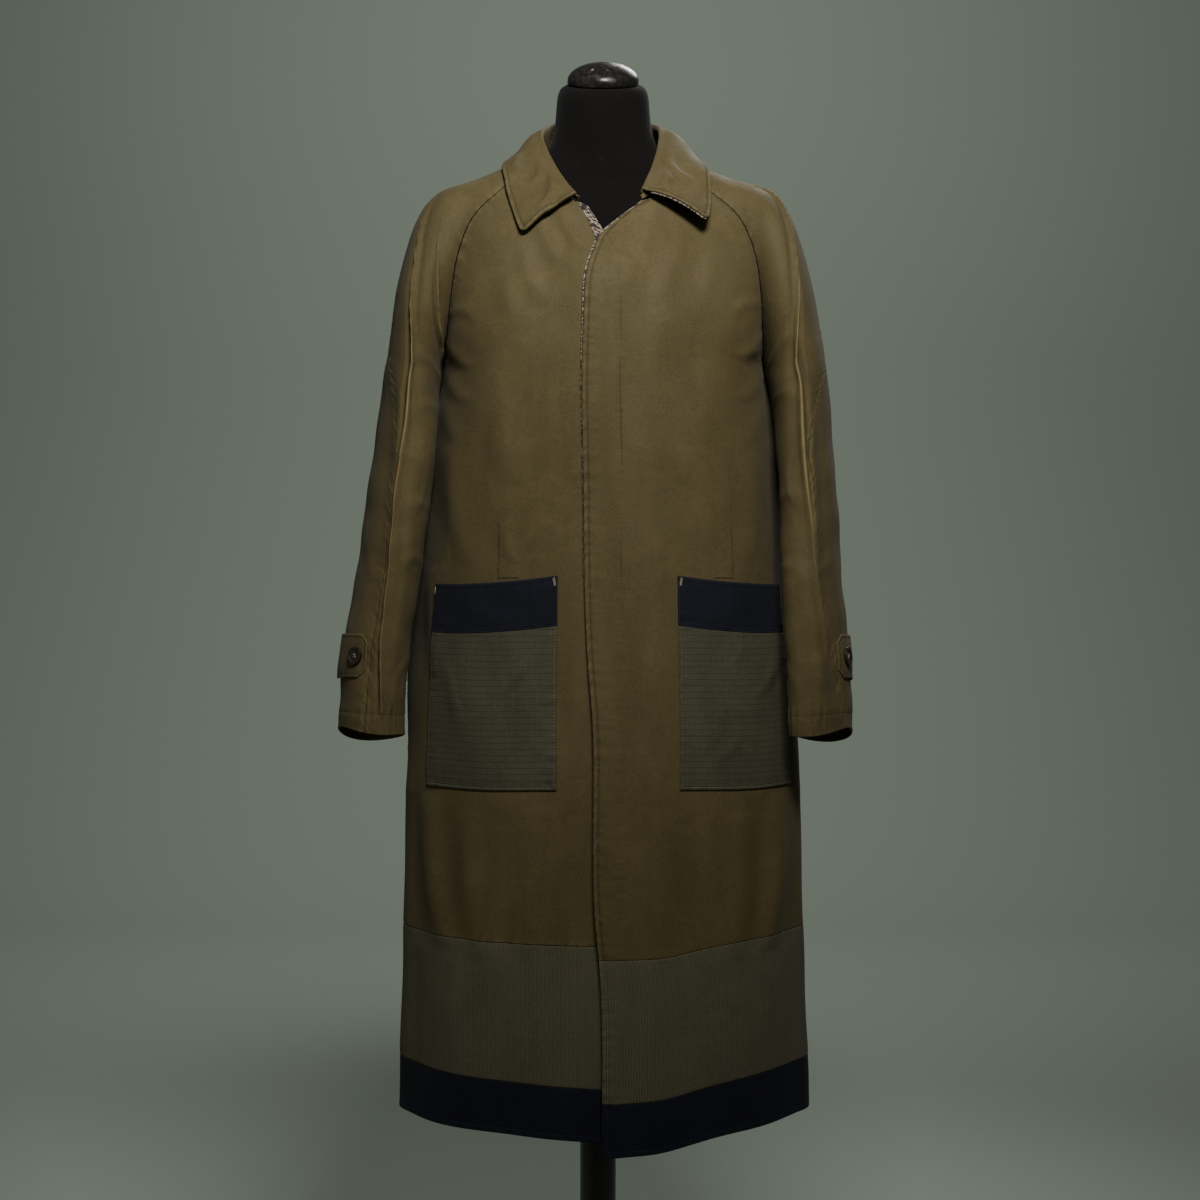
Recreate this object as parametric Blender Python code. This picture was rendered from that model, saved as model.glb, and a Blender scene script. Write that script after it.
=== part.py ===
"""Single-breasted raglan coat worn by a limbless dress form on a pole.

Metres, +Z up. X runs across the coat (+X is the wearer's left), the coat faces -Y, and the
origin is on the floor under the middle of the stand.
"""
import math

import bmesh
import bpy
import numpy as np
from mathutils import Vector
from mathutils.bvhtree import BVHTree

# ---- driving dimensions -------------------------------------------------------------------
COAT_X = 0.006               # the coat hangs this far from the pole's axis
CLOTH = 0.0020               # wall of one panel, shell cloth and its backing
LEAF = 0.0018                # collar cloth
THIN = 0.0012                # tweed, pockets, bands and tabs
GAP = 0.0003                 # between pieces that are sewn or lie together
OVERLAP_X = 0.045            # the hidden edge of the under front
FACING_EDGE = 0.0022         # tweed that shows beyond the over front's edge
FACING_NECK = 0.0090         # and in the neck opening, on the under front's side
CENTRE_X = 0.0165            # the garment's centre front line
ARM_Z = 1.290                # underarm point
ROUNDNESS = 2.4              # exponent of the body's sections

# Body sections below the underarm: half width, depth to the front and to the back
BODY_COLUMNS = ("height", "half_width", "front", "back")
BODY = np.array([
    (1.330, 0.186, 0.156, 0.130),
    (1.290, 0.188, 0.158, 0.128),
    (1.200, 0.194, 0.160, 0.122),
    (1.100, 0.203, 0.162, 0.118),
    (1.000, 0.213, 0.168, 0.126),
    (0.900, 0.226, 0.177, 0.142),
    (0.800, 0.2335, 0.184, 0.154),
    (0.650, 0.2345, 0.191, 0.162),
    (0.540, 0.2370, 0.196, 0.166),
    (0.400, 0.2410, 0.200, 0.170)])

# Heights of the two cross seams and the hem, by the part of a quarter round from the front
SEAM_COLUMNS = ("round", "panel_seam", "hem_seam", "hem", "sag_of_the_over_front")
SEAMS = np.array([
    (0.00, 0.6385, 0.4825, 0.4245, 0.0145),
    (0.20, 0.6395, 0.4865, 0.4290, 0.0125),
    (0.35, 0.6405, 0.4895, 0.4320, 0.0050),
    (0.60, 0.6425, 0.4925, 0.4335, 0.0010),
    (1.00, 0.6470, 0.4965, 0.4365, 0.0000),
    (2.00, 0.6440, 0.4930, 0.4350, 0.0000)])

# The over front's visible edge
EDGE_COLUMNS = ("height", "across")
EDGE = np.array([
    (1.428, -0.0056), (1.396, -0.0170), (1.330, -0.0223), (1.148, -0.0223), (0.940, -0.0167),
    (0.900, -0.0133), (0.660, -0.0088), (0.620, -0.0050), (0.400, -0.0015)])

# Rows of the upper fronts from the underarm (0) to the neck (1): the centre of the chest and
# the raglan seam, with the cloth's direction where it meets the seam
CHEST_COLUMNS = ("row", "centre_y", "centre_z", "seam_x", "seam_y", "seam_z", "way_x", "way_y", "way_z")
CHEST = np.array([
    (0.00, -0.158, 1.290, 0.1880, 0.0000, 1.290, 0.00, 1.00, 0.00),
    (0.12, -0.156, 1.316, 0.1875, -0.0320, 1.300, 0.10, 0.99, 0.05),
    (0.25, -0.152, 1.346, 0.1850, -0.0620, 1.330, 0.25, 0.95, 0.10),
    (0.38, -0.147, 1.378, 0.1820, -0.0800, 1.372, 0.50, 0.80, 0.20),
    (0.50, -0.139, 1.405, 0.1750, -0.0885, 1.415, 0.70, 0.62, 0.32),
    (0.62, -0.130, 1.428, 0.1600, -0.0900, 1.453, 0.75, 0.50, 0.42),
    (0.80, -0.121, 1.452, 0.1220, -0.0760, 1.493, 0.70, 0.50, 0.50),
    (1.00, -0.113, 1.474, 0.0770, -0.0450, 1.533, 0.35, 0.75, 0.55)])

# Rows of the upper back in the same manner
SHOULDER_COLUMNS = CHEST_COLUMNS
SHOULDER = np.array([
    (0.00, 0.128, 1.290, 0.1880, 0.0000, 1.290, 0.00, -1.00, 0.00),
    (0.12, 0.130, 1.322, 0.1875, 0.0320, 1.303, 0.10, -0.99, 0.05),
    (0.25, 0.133, 1.360, 0.1850, 0.0620, 1.338, 0.25, -0.95, 0.10),
    (0.38, 0.135, 1.400, 0.1810, 0.0850, 1.382, 0.50, -0.80, 0.20),
    (0.50, 0.134, 1.440, 0.1720, 0.0960, 1.425, 0.70, -0.60, 0.32),
    (0.62, 0.128, 1.478, 0.1550, 0.0980, 1.465, 0.75, -0.50, 0.42),
    (0.80, 0.106, 1.522, 0.1130, 0.0800, 1.512, 0.70, -0.50, 0.50),
    (1.00, 0.070, 1.562, 0.0700, 0.0330, 1.553, 0.50, -0.75, 0.35)])

# Top of the shoulder and outside of the upper arm, for the same rows, one table a side
OUTSIDE_COLUMNS = ("row", "x", "y", "z", "front_reach_x", "front_reach_y", "front_reach_z", "top_reach")
OUTSIDE = {
    -1: np.array([
        (0.00, 0.2540, 0.000, 1.318, -0.004, -0.140, 0.000, 0.120),
        (0.12, 0.2520, 0.004, 1.352, 0.002, -0.120, 0.020, 0.112),
        (0.25, 0.2440, 0.004, 1.390, 0.008, -0.085, 0.030, 0.102),
        (0.38, 0.2340, 0.004, 1.430, 0.012, -0.056, 0.038, 0.090),
        (0.50, 0.2220, 0.003, 1.466, 0.018, -0.030, 0.040, 0.074),
        (0.62, 0.2040, 0.002, 1.4930, 0.020, -0.012, 0.036, 0.058),
        (0.80, 0.1450, 0.000, 1.5190, 0.012, 0.006, 0.018, 0.036),
        (1.00, 0.0790, -0.005, 1.5465, 0.003, 0.012, 0.008, 0.014)]),
    1: np.array([
        (0.00, 0.2610, 0.000, 1.318, -0.004, -0.140, 0.000, 0.120),
        (0.12, 0.2575, 0.004, 1.352, 0.002, -0.120, 0.020, 0.112),
        (0.25, 0.2480, 0.004, 1.390, 0.008, -0.085, 0.030, 0.102),
        (0.38, 0.2370, 0.004, 1.430, 0.012, -0.056, 0.038, 0.090),
        (0.50, 0.2240, 0.003, 1.466, 0.018, -0.030, 0.040, 0.074),
        (0.62, 0.2065, 0.002, 1.4940, 0.020, -0.012, 0.036, 0.058),
        (0.80, 0.1480, 0.000, 1.5190, 0.012, 0.006, 0.018, 0.036),
        (1.00, 0.0790, -0.005, 1.5465, 0.003, 0.012, 0.008, 0.014)])}
REST_PASSES = 9

# How far the cloth runs on in its own direction before the raglan seam, by row
REACH_COLUMNS = ("row", "share_of_the_row")
REACH = np.array([(0.00, 0.42), (0.12, 0.355), (0.25, 0.30), (0.38, 0.285), (0.55, 0.30), (1.00, 0.34)])

SEAM_IN = {-1: 0.0075, 1: 0.0}   # the wearer's right raglan seam lies further in

# The hanging sleeve: its inner and outer lines, how far it reaches to the front and the back
# of them, its swing towards the body and its pitch
SLEEVE_COLUMNS = ("row", "inner_x", "inner_y", "inner_z", "outer_x", "outer_y", "outer_z",
                  "front", "back", "swing", "pitch", "seam")
SLEEVE = {
    -1: np.array([
        (0.0, 0.1880, 0.000, 1.290, 0.2540, 0.000, 1.318, 0.140, 0.120, 0.03, 0.00, 0.86),
        (0.5, 0.1955, -0.006, 1.255, 0.2610, -0.002, 1.278, 0.132, 0.112, 0.06, 0.00, 0.72),
        (1.0, 0.1990, -0.016, 1.210, 0.2680, -0.010, 1.226, 0.122, 0.104, 0.10, -0.02, 0.63),
        (2.0, 0.2070, -0.038, 1.120, 0.2795, -0.030, 1.130, 0.104, 0.096, 0.15, 0.02, 0.62),
        (3.0, 0.2150, -0.054, 1.040, 0.2885, -0.046, 1.048, 0.092, 0.088, 0.20, 0.04, 0.62),
        (4.0, 0.2250, -0.068, 0.960, 0.3015, -0.060, 0.966, 0.080, 0.078, 0.22, 0.06, 0.62),
        (5.0, 0.2290, -0.078, 0.890, 0.3045, -0.072, 0.893, 0.072, 0.072, 0.22, 0.08, 0.62),
        (5.4, 0.2290, -0.080, 0.866, 0.3060, -0.074, 0.869, 0.070, 0.070, 0.22, 0.08, 0.62)]),
    1: np.array([
        (0.0, 0.1880, 0.000, 1.290, 0.2610, 0.000, 1.318, 0.140, 0.120, 0.03, 0.00, 0.92),
        (0.5, 0.1985, -0.008, 1.255, 0.2670, -0.004, 1.278, 0.132, 0.112, 0.04, 0.00, 0.74),
        (1.0, 0.2045, -0.020, 1.210, 0.2700, -0.014, 1.226, 0.122, 0.104, 0.07, -0.02, 0.55),
        (2.0, 0.2105, -0.046, 1.120, 0.2755, -0.038, 1.130, 0.104, 0.096, 0.14, 0.02, 0.58),
        (3.0, 0.2140, -0.066, 1.040, 0.2765, -0.060, 1.048, 0.092, 0.088, 0.22, 0.04, 0.64),
        (4.0, 0.2180, -0.088, 0.960, 0.2820, -0.080, 0.966, 0.080, 0.078, 0.26, 0.06, 0.76),
        (5.0, 0.2190, -0.102, 0.890, 0.2840, -0.094, 0.893, 0.072, 0.072, 0.28, 0.08, 0.84),
        (5.4, 0.2190, -0.104, 0.866, 0.2845, -0.096, 0.869, 0.070, 0.070, 0.28, 0.08, 0.84)])}

# The collar from the back of the neck (0) to its front corner (1): the fold line and the leaf's
# edge. The front rows differ between the sides, because the over front pulls one leaf up.
COLLAR_COLUMNS = ("part", "fold_x", "fold_y", "fold_z", "edge_x", "edge_y", "edge_z", "belly")
COLLAR = {
    -1: np.array([
        (0.00, 0.0000, 0.0700, 1.5990, 0.0000, 0.1120, 1.5300, 0.014),
        (0.20, 0.0340, 0.0630, 1.5970, 0.0480, 0.1030, 1.5290, 0.014),
        (0.40, 0.0620, 0.0340, 1.5900, 0.0900, 0.0600, 1.5310, 0.013),
        (0.52, 0.0730, 0.0020, 1.5780, 0.1060, 0.0080, 1.5390, 0.012),
        (0.64, 0.0660, -0.0360, 1.5500, 0.1150, -0.0360, 1.5160, 0.009),
        (0.78, 0.0520, -0.0720, 1.5180, 0.1110, -0.0800, 1.4900, 0.007),
        (0.90, 0.0400, -0.1000, 1.4960, 0.1010, -0.1100, 1.4560, 0.005),
        (1.00, 0.0310, -0.1170, 1.4830, 0.0925, -0.1270, 1.4345, 0.003)]),
    1: np.array([
        (0.00, 0.0000, 0.0700, 1.5990, 0.0000, 0.1120, 1.5300, 0.014),
        (0.20, 0.0330, 0.0630, 1.5970, 0.0480, 0.1030, 1.5290, 0.014),
        (0.40, 0.0580, 0.0340, 1.5910, 0.0930, 0.0600, 1.5310, 0.013),
        (0.52, 0.0670, 0.0020, 1.5820, 0.1110, 0.0080, 1.5400, 0.013),
        (0.64, 0.0655, -0.0330, 1.5570, 0.1200, -0.0360, 1.5220, 0.011),
        (0.78, 0.0570, -0.0700, 1.5230, 0.1245, -0.0780, 1.4980, 0.008),
        (0.90, 0.0500, -0.0990, 1.5030, 0.1235, -0.1080, 1.4710, 0.007),
        (1.00, 0.0445, -0.1180, 1.4880, 0.1195, -0.1320, 1.4490, 0.006)])}

# Patch pockets, from the garment's centre front along the cloth
POCKET_NEAR = 0.0680
POCKET_WIDE = 0.1680
POCKET_TOP = 1.0470
POCKET_SLOPE = -0.050        # the mouth falls this much for each metre outwards
BAND_DEEP = 0.0560
POCKET_FOOT = 0.8095
WELT_NEAR, WELT_WIDE = 0.1130, 0.0270
WELT_TOP, WELT_SLOPE = 1.0960, 0.45
LAID = 0.0009                # what lies on a panel clears its flats by this much

# Cuff tabs and buttons: rows of the sleeve, and how far round it from the outer seam
TAB_ROWS = (-3.82, -4.48)
TAB_ROUND = 0.42
TAB_LAID = 0.0006
BUTTON_RADIUS, BUTTON_THICK = 0.0105, 0.0034
BUTTON_LIFT = 0.0004
HOLE_RADIUS, HOLE_OUT = 0.0011, 0.0021

# The dress form: height, half width, depth in front and behind
FORM_COLUMNS = ("height", "half_width", "front", "back")
FORM = np.array([
    (0.8000, 0.1600, 0.1000, 0.1080), (0.8060, 0.1660, 0.1060, 0.1140),
    (0.8800, 0.1720, 0.1120, 0.1180), (0.9800, 0.1580, 0.1080, 0.1020),
    (1.0800, 0.1450, 0.1020, 0.0900), (1.1800, 0.1500, 0.1080, 0.0940),
    (1.3000, 0.1620, 0.1200, 0.1000), (1.3800, 0.1660, 0.1160, 0.1040),
    (1.4300, 0.1720, 0.1040, 0.1020), (1.4650, 0.1780, 0.0880, 0.0930),
    (1.4850, 0.1840, 0.0740, 0.0840), (1.4980, 0.1800, 0.0640, 0.0760),
    (1.5060, 0.1680, 0.0600, 0.0720), (1.5160, 0.1440, 0.0580, 0.0700),
    (1.5260, 0.1160, 0.0565, 0.0670), (1.5360, 0.0880, 0.0555, 0.0640),
    (1.5470, 0.0700, 0.0550, 0.0620), (1.5620, 0.0620, 0.0550, 0.0600),
    (1.5850, 0.0568, 0.0550, 0.0575),
    (1.6100, 0.0556, 0.0545, 0.0560), (1.6230, 0.0540, 0.0530, 0.0540),
    (1.6300, 0.0500, 0.0490, 0.0500), (1.6325, 0.0440, 0.0430, 0.0440)])
SEAT = 0.0009                # between the form's shoulders and the coat, at the form's corners
SHOULDER_FROM, SHOULDER_TO = 1.490, 1.530   # rings that carry the coat are raised to its inside
CAP_RADIUS, CAP_HIGH, CAP_LIP = 0.0425, 0.0270, 0.0050
NECK_SLANT = math.tan(math.radians(20))     # the neck is cut lower in front than behind
SLANT_FROM, SLANT_TO = 1.560, 1.625
POLE_RADIUS = 0.0212
BASE_RADIUS, BASE_THICK = 0.190, 0.016

# Colours: red, green, blue (linear), roughness, metallic
PAINTS = {
    "khaki": (0.110, 0.080, 0.030, 0.80, 0.0),
    "olive": (0.045, 0.043, 0.024, 0.85, 0.0),
    "ripstop": (0.048, 0.047, 0.029, 0.80, 0.0),
    "navy": (0.010, 0.012, 0.020, 0.85, 0.0),
    "tweed": (0.300, 0.240, 0.170, 0.90, 0.0),
    "horn": (0.030, 0.018, 0.010, 0.35, 0.0),
    "jersey": (0.009, 0.008, 0.007, 0.90, 0.0),
    "lacquer": (0.010, 0.009, 0.008, 0.20, 0.0),
    "iron": (0.030, 0.026, 0.022, 0.45, 1.0)}


# ---- shared curves ------------------------------------------------------------------------
def spline(knots, values, at):
    """Smooth curve through the rows of values at the knots."""
    values = np.asarray(values, float)
    at = np.clip(np.asarray(at, float), knots[0], knots[-1])
    slopes = np.gradient(values, knots, axis=0)
    row = np.clip(np.searchsorted(knots, at, side="right") - 1, 0, len(knots) - 2)
    step = knots[row + 1] - knots[row]
    part = (at - knots[row]) / step
    if values.ndim > 1:
        step, part = step[..., None], part[..., None]
    rest = 1 - part
    return ((1 + 2 * part) * rest ** 2 * values[row] + part * rest ** 2 * step * slopes[row]
            + part ** 2 * (3 - 2 * part) * values[row + 1] - part ** 2 * rest * step * slopes[row + 1])


def table(rows, at):
    """All columns of a table after its first, read smoothly at values of its first."""
    if rows[0, 0] > rows[-1, 0]:
        rows = rows[::-1]
    return spline(rows[:, 0], rows[:, 1:], at)


def blend(low, high, at):
    part = np.clip((np.asarray(at, float) - low) / (high - low), 0, 1)
    return part * part * (3 - 2 * part)


def bump(at, middle, width):
    return np.exp(-((at - middle) / width) ** 2)


def unit(vectors):
    return vectors / np.maximum(np.linalg.norm(vectors, axis=-1, keepdims=True), 1e-12)


def bezier(ends, part):
    """Cubic curve: ends is four arrays of points, part runs from 0 to 1."""
    rest = 1 - part
    weights = (rest ** 3, 3 * part * rest ** 2, 3 * part ** 2 * rest, part ** 3)
    return sum(weight[..., None] * end for weight, end in zip(weights, ends))


# ---- the body tube ------------------------------------------------------------------------
def quarter_angle(part):
    """Angle on a quarter of the body's section after this part of its length."""
    angle = np.linspace(0, math.pi / 2, 400)
    x = 1.15 * np.sin(angle) ** (2 / ROUNDNESS)
    y = 0.90 * np.cos(angle) ** (2 / ROUNDNESS)
    length = np.concatenate([[0], np.cumsum(np.hypot(np.diff(x), np.diff(y)))])
    return np.interp(part, length / length[-1], angle)


def body_point(around, height):
    """The coat's outside below the arms. around is 0 at the front, 1 at the side, 2 behind."""
    half_width, front, back = np.moveaxis(table(BODY, height), -1, 0)
    turn = np.abs(around)
    angle = quarter_angle(np.where(turn <= 1, turn, 2 - turn))
    x = np.sign(around) * half_width * np.sin(angle) ** (2 / ROUNDNESS)
    depth = np.where(turn <= 1, -front, back)
    y = depth * np.cos(angle) ** (2 / ROUNDNESS)
    return np.stack([x, y, height], -1)


def around_at(across, height):
    """Where the front of the body tube lies this far across."""
    turns = np.linspace(0, 1, 200)
    half_width = table(BODY, height)[..., 0]
    ratio = np.abs(across) / half_width
    widths = np.sin(quarter_angle(turns)) ** (2 / ROUNDNESS)
    return np.sign(across) * np.interp(ratio, widths, turns)


def hang(around, height):
    """How far the cloth stands out in the long soft folds of the skirt."""
    low = blend(1.05, 0.50, height)
    turn = np.abs(around)
    folds = (bump(turn, 0.80, 0.07) * 0.006 - bump(turn, 0.93, 0.05) * 0.005
             + bump(turn, 1.25, 0.10) * 0.007 - bump(turn, 1.50, 0.10) * 0.006
             + bump(turn, 1.80, 0.12) * 0.006)
    return low * folds


def body_wall(around, height):
    """Outside points of the draped body tube, and their normals."""
    step = 0.004

    def draped(turn, level):
        point = body_point(turn, level)
        out = unit(point * np.array([1, 1.3, 0]))
        return point + out * hang(turn, level)[..., None]

    point = draped(around, height)
    along = draped(around + step, height) - draped(around - step, height)
    up = draped(around, height + step) - draped(around, height - step)
    return point, unit(np.cross(along, up))


def seam_height(which, around, side=0):
    """Height of a cross seam or the hem: which is a column of SEAMS."""
    turn = np.abs(around)
    values = table(SEAMS, turn)
    sag = values[..., 3] if side > 0 else 0
    return values[..., which] - sag


# ---- the upper body and the arms ----------------------------------------------------------
def seam_point(rows, row, side):
    """A raglan seam's points and the cloth's way across it."""
    values = table(rows, row)
    point = values[..., 2:5].copy()
    point[..., 0] -= SEAM_IN[side] * np.sin(math.pi * np.clip(row, 0, 1)) ** 2
    way = unit(values[..., 5:8])
    flip = np.array([side, 1, 1])
    return point * flip, way * flip


def upper_row(rows, row, start, side, around):
    """Rows of the upper front or back from a start point to the raglan seam."""
    end, way = seam_point(rows, row, side)
    chord = np.linalg.norm(end - start, axis=-1, keepdims=True)
    lead = np.array([side, 0, 0]) * np.ones_like(start)
    lead = lead + blend(0.55, 1.0, row)[..., None] * np.array([0, 0.25, 0.45])
    near = chord * (0.50 - 0.10 * row[..., None])
    far = chord * spline(REACH[:, 0], REACH[:, 1], row)[..., None]
    return bezier((start, start + unit(lead) * near, end - way * far, end), around)


def upper_grid(rows, row, part, side, start, first):
    """Points of an upper panel. first is its lowest row, which it leaves smoothly."""
    row_grid, part_grid = np.meshgrid(row, part, indexing="ij")
    starts = np.repeat(start[:, None], len(part), axis=1)
    points = upper_row(rows, row_grid, starts, side, part_grid)
    fade = (1 - blend(0, 0.6, row_grid))[..., None]
    return points + fade * (first - points[0])[None]


def arm_ring(row, turn, side):
    """A sleeve's outside. row runs from 1 at the neck to 0 at the underarm, and on down to
    minus 5.4 at the cuff; turn is 0 at the front or inner seam, 1 outside and 2 at the back."""
    flip = np.array([side, 1, 1])
    high = np.clip(row, 0, 1)
    low = np.clip(-row, 0, 5.4)
    front_seam = seam_point(CHEST, high, side)[0]
    back_seam = seam_point(SHOULDER, high, side)[0]
    top = table(OUTSIDE[side], high)
    hung = table(SLEEVE[side], low)
    lower = (row < 0)[..., None]
    inner = hung[..., 0:3] * flip
    outer = np.where(lower, hung[..., 3:6], top[..., 0:3]) * flip
    swing, pitch = hung[..., 8], hung[..., 9]
    long_way = unit(np.stack([-swing * side, -np.ones_like(swing), pitch], -1))
    forward = long_way * hung[..., 6:7]
    backward = -long_way * hung[..., 7:8]
    rise = top[..., 3:6] * flip
    rise_back = rise * np.array([1, -120 / 140, 1])
    front = np.where(lower, inner, front_seam)
    back = np.where(lower, inner, back_seam)
    front_lead = np.where(lower, forward, rise)
    back_lead = np.where(lower, backward, rise_back)
    crest = top[..., 6:7] * np.array([0, 1, 0])
    front_top = np.where(lower, forward, -crest * 1.15)
    back_top = np.where(lower, backward, crest)
    ahead = bezier((front, front + front_lead, outer + front_top, outer), np.clip(turn, 0, 1))
    behind = bezier((back, back + back_lead, outer + back_top, outer), np.clip(2 - turn, 0, 1))
    return np.where((turn <= 1)[..., None], ahead, behind)


def arm_fold(row, turn, side):
    """Ridges and troughs of the hanging sleeve."""
    low = np.clip(-row, 0, 5.4)
    run = blend(0.1, 1.5, low) * (1 - blend(4.2, 5.2, low))
    ridge = 0.50 - 0.02 * low if side < 0 else 0.42 + 0.03 * low
    return run * (0.0050 * bump(turn, ridge, 0.10) - 0.0040 * bump(turn, ridge + 0.22, 0.10))


def arm_wall(row, turn, side):
    """Outside points of the draped sleeve and their normals, worked out from its own rings."""
    step = 0.01

    def normals(surface):
        along = surface(row, np.minimum(turn + step, 2)) - surface(row, np.maximum(turn - step, 0))
        up = surface(np.minimum(row + step, 1), turn) - surface(np.maximum(row - step, -5.4), turn)
        return unit(np.cross(along, up)) * side

    def plain(rows, turns):
        return arm_ring(rows, turns, side)

    out = normals(plain)

    def folded(rows, turns):
        return plain(rows, turns) + out * arm_fold(rows, turns, side)[..., None]

    return folded(row, turn), normals(folded)


def seam_turn(row, side):
    """Where the outer-arm seam lies round the sleeve."""
    low = np.clip(-row, 0, 5.4)
    value = table(SLEEVE[side], low)[..., 10]
    return value + (1 - value) * blend(0.0, 0.35, row)


# ---- building walls -----------------------------------------------------------------------
def grid_normals(points, side=1):
    rows = np.gradient(points, axis=0)
    columns = np.gradient(points, axis=1)
    return unit(np.cross(columns, rows)) * side


def inset_edges(points, amount):
    """Draw a grid in from its neighbours by this much along the cloth."""
    points = points.copy()
    for _ in range(2):
        points[0] += unit(points[1] - points[0]) * amount
        points[-1] += unit(points[-2] - points[-1]) * amount
        points = points.transpose(1, 0, 2)
    return points


def paint(name):
    material = bpy.data.materials.get(name)
    if material is None:
        red, green, blue, roughness, metallic = PAINTS[name]
        material = bpy.data.materials.new(name)
        material.use_nodes = True
        shader = material.node_tree.nodes["Principled BSDF"]
        shader.inputs["Base Color"].default_value = (red, green, blue, 1)
        shader.inputs["Roughness"].default_value = roughness
        shader.inputs["Metallic"].default_value = metallic
    return material


def add_mesh(name, points, faces, material):
    mesh = bpy.data.meshes.new(name)
    mesh.from_pydata([tuple(point) for point in np.asarray(points).reshape(-1, 3)], [], faces)
    shape = bmesh.new()
    shape.from_mesh(mesh)
    bmesh.ops.recalc_face_normals(shape, faces=shape.faces)
    shape.to_mesh(mesh)
    shape.free()
    mesh.shade_smooth()
    mesh.set_sharp_from_angle(angle=math.radians(40))
    mesh.materials.append(paint(material))
    item = bpy.data.objects.new(name, mesh)
    bpy.context.collection.objects.link(item)
    return item


def grid_faces(rows, columns):
    """Faces of a wall whose outer grid comes first and whose inner grid follows."""
    count = rows * columns
    index = np.arange(count).reshape(rows, columns)
    faces = []
    for row in range(rows - 1):
        for column in range(columns - 1):
            first, second = int(index[row, column]), int(index[row, column + 1])
            third, fourth = int(index[row + 1, column + 1]), int(index[row + 1, column])
            for corners in ((first, second, third), (first, third, fourth)):
                faces.append(corners)
                faces.append(tuple(corner + count for corner in reversed(corners)))
    loop = list(index[0, :]) + list(index[1:, -1]) + list(index[-1, -2::-1]) + list(index[-2:0:-1, 0])
    for first, second in zip(loop, loop[1:] + loop[:1]):
        faces.append((int(second), int(first), int(first) + count, int(second) + count))
    return faces


def wall(name, outer, normals, thickness, material, inset=GAP / 2):
    """A closed cloth wall under a grid of outside points."""
    outer = inset_edges(outer, inset)
    inner = outer - normals * thickness
    rows, columns = outer.shape[:2]
    points = np.concatenate([outer.reshape(-1, 3), inner.reshape(-1, 3)])
    points = points + np.array([COAT_X, 0, 0])
    return add_mesh(name, points, grid_faces(rows, columns), material)


# ---- panels -------------------------------------------------------------------------------
UPPER_ROWS = np.array([0.0, 0.12, 0.25, 0.38, 0.50, 0.62, 0.80, 1.00])
HANGING_ROWS = -np.array([0.25, 0.5, 1, 1.5, 2, 2.5, 3, 3.5, 4, 4.5, 5, 5.4])
COLLAR_PARTS = np.array([0.0, 0.1, 0.2, 0.3, 0.4, 0.46, 0.52, 0.58, 0.64, 0.71, 0.78, 0.84, 0.90,
                         0.95, 1.0])


def chest_start(row, side):
    """The front edge of an upper front, from the underarm's level to the neck."""
    centre = table(CHEST, row)
    y, z = centre[..., 0], centre[..., 1]
    if side > 0:
        across = np.where(row <= 0.62, table(EDGE, z)[..., 0], 0)
        across = np.where(row > 0.62, -0.0056 + (row - 0.62) / 0.38 * 0.051, across)
    else:
        across = np.interp(row, [0, 0.35, 0.62, 1.0], [OVERLAP_X, 0.028, -0.008, -0.0295])
        y = y + 0.0028 * blend(0, 0.2, row)
    return np.stack([across, y, z], -1)


def front_lift(points, side):
    """The over front lies on the under front near the centre."""
    if side < 0:
        return np.zeros(points.shape[:-1])
    return 0.0032 * (1 - blend(0.05, 0.10, points[..., 0]))


def front_columns(side, height, count):
    """Turns round the body of a front's columns at each height of a row."""
    inner = table(EDGE, height)[..., 0] if side > 0 else np.full(height.shape, OVERLAP_X)
    start = around_at(inner, height)
    part = np.linspace(0, 1, count)
    return start[..., None] * (1 - part) + side * part


def front_part(side, top, bottom, rows, count):
    """Grid of the draped tube between two levels, each a height or a column of SEAMS."""
    turns = front_columns(side, np.full(rows, 0.9), count)

    def level(which):
        return np.full(count, which) if isinstance(which, float) else seam_height(which, turns[0], side)

    share = np.linspace(0, 1, rows)[:, None]
    heights = level(top) * (1 - share) + level(bottom) * share
    turns = np.stack([front_columns(side, heights[row, :1], count)[0] for row in range(rows)])
    points, normals = body_wall(turns, heights)
    return points, normals


def tuck_under(points, names):
    """Move points of the under front back behind the over front's inner face."""
    over = tree_of(names)
    moved = points.reshape(-1, 3).copy()
    for index, point in enumerate(moved):
        start = Vector(point) + Vector((COAT_X, 0.06, 0))
        place = over.ray_cast(start, Vector((0, -1, 0)), 0.10)[0]
        if place is not None:
            moved[index, 1] = max(point[1], place.y + 4 * GAP)
    return moved.reshape(points.shape)


def build_fronts():
    count = 13
    for side, name in ((1, "front_left"), (-1, "front_right")):
        lower, lower_normals = front_part(side, ARM_Z, 0, 9, count)
        part = np.linspace(0, 1, count)
        start = chest_start(UPPER_ROWS, side)
        first = lower[0]
        upper = upper_grid(CHEST, UPPER_ROWS, part, side, start, first)
        points = np.concatenate([upper[:0:-1], lower])
        normals = grid_normals(points, -side)
        normals[len(upper):] = lower_normals[1:]
        points += normals * front_lift(points, side)[..., None]
        if side < 0:
            points = tuck_under(points, ["front_left", "facing_left"])
        wall(name, points, normals, CLOTH, "khaki")
        build_facing(points, normals, side)
        for which, below, suffix, cloth, rows in (
                (0, 1, "_panel", "olive", 4), (1, 2, "_hem", "navy", 3)):
            points, normals = front_part(side, which, below, rows, count)
            points += normals * front_lift(points, side)[..., None]
            wall(name + suffix, points, normals, CLOTH, cloth)


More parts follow.
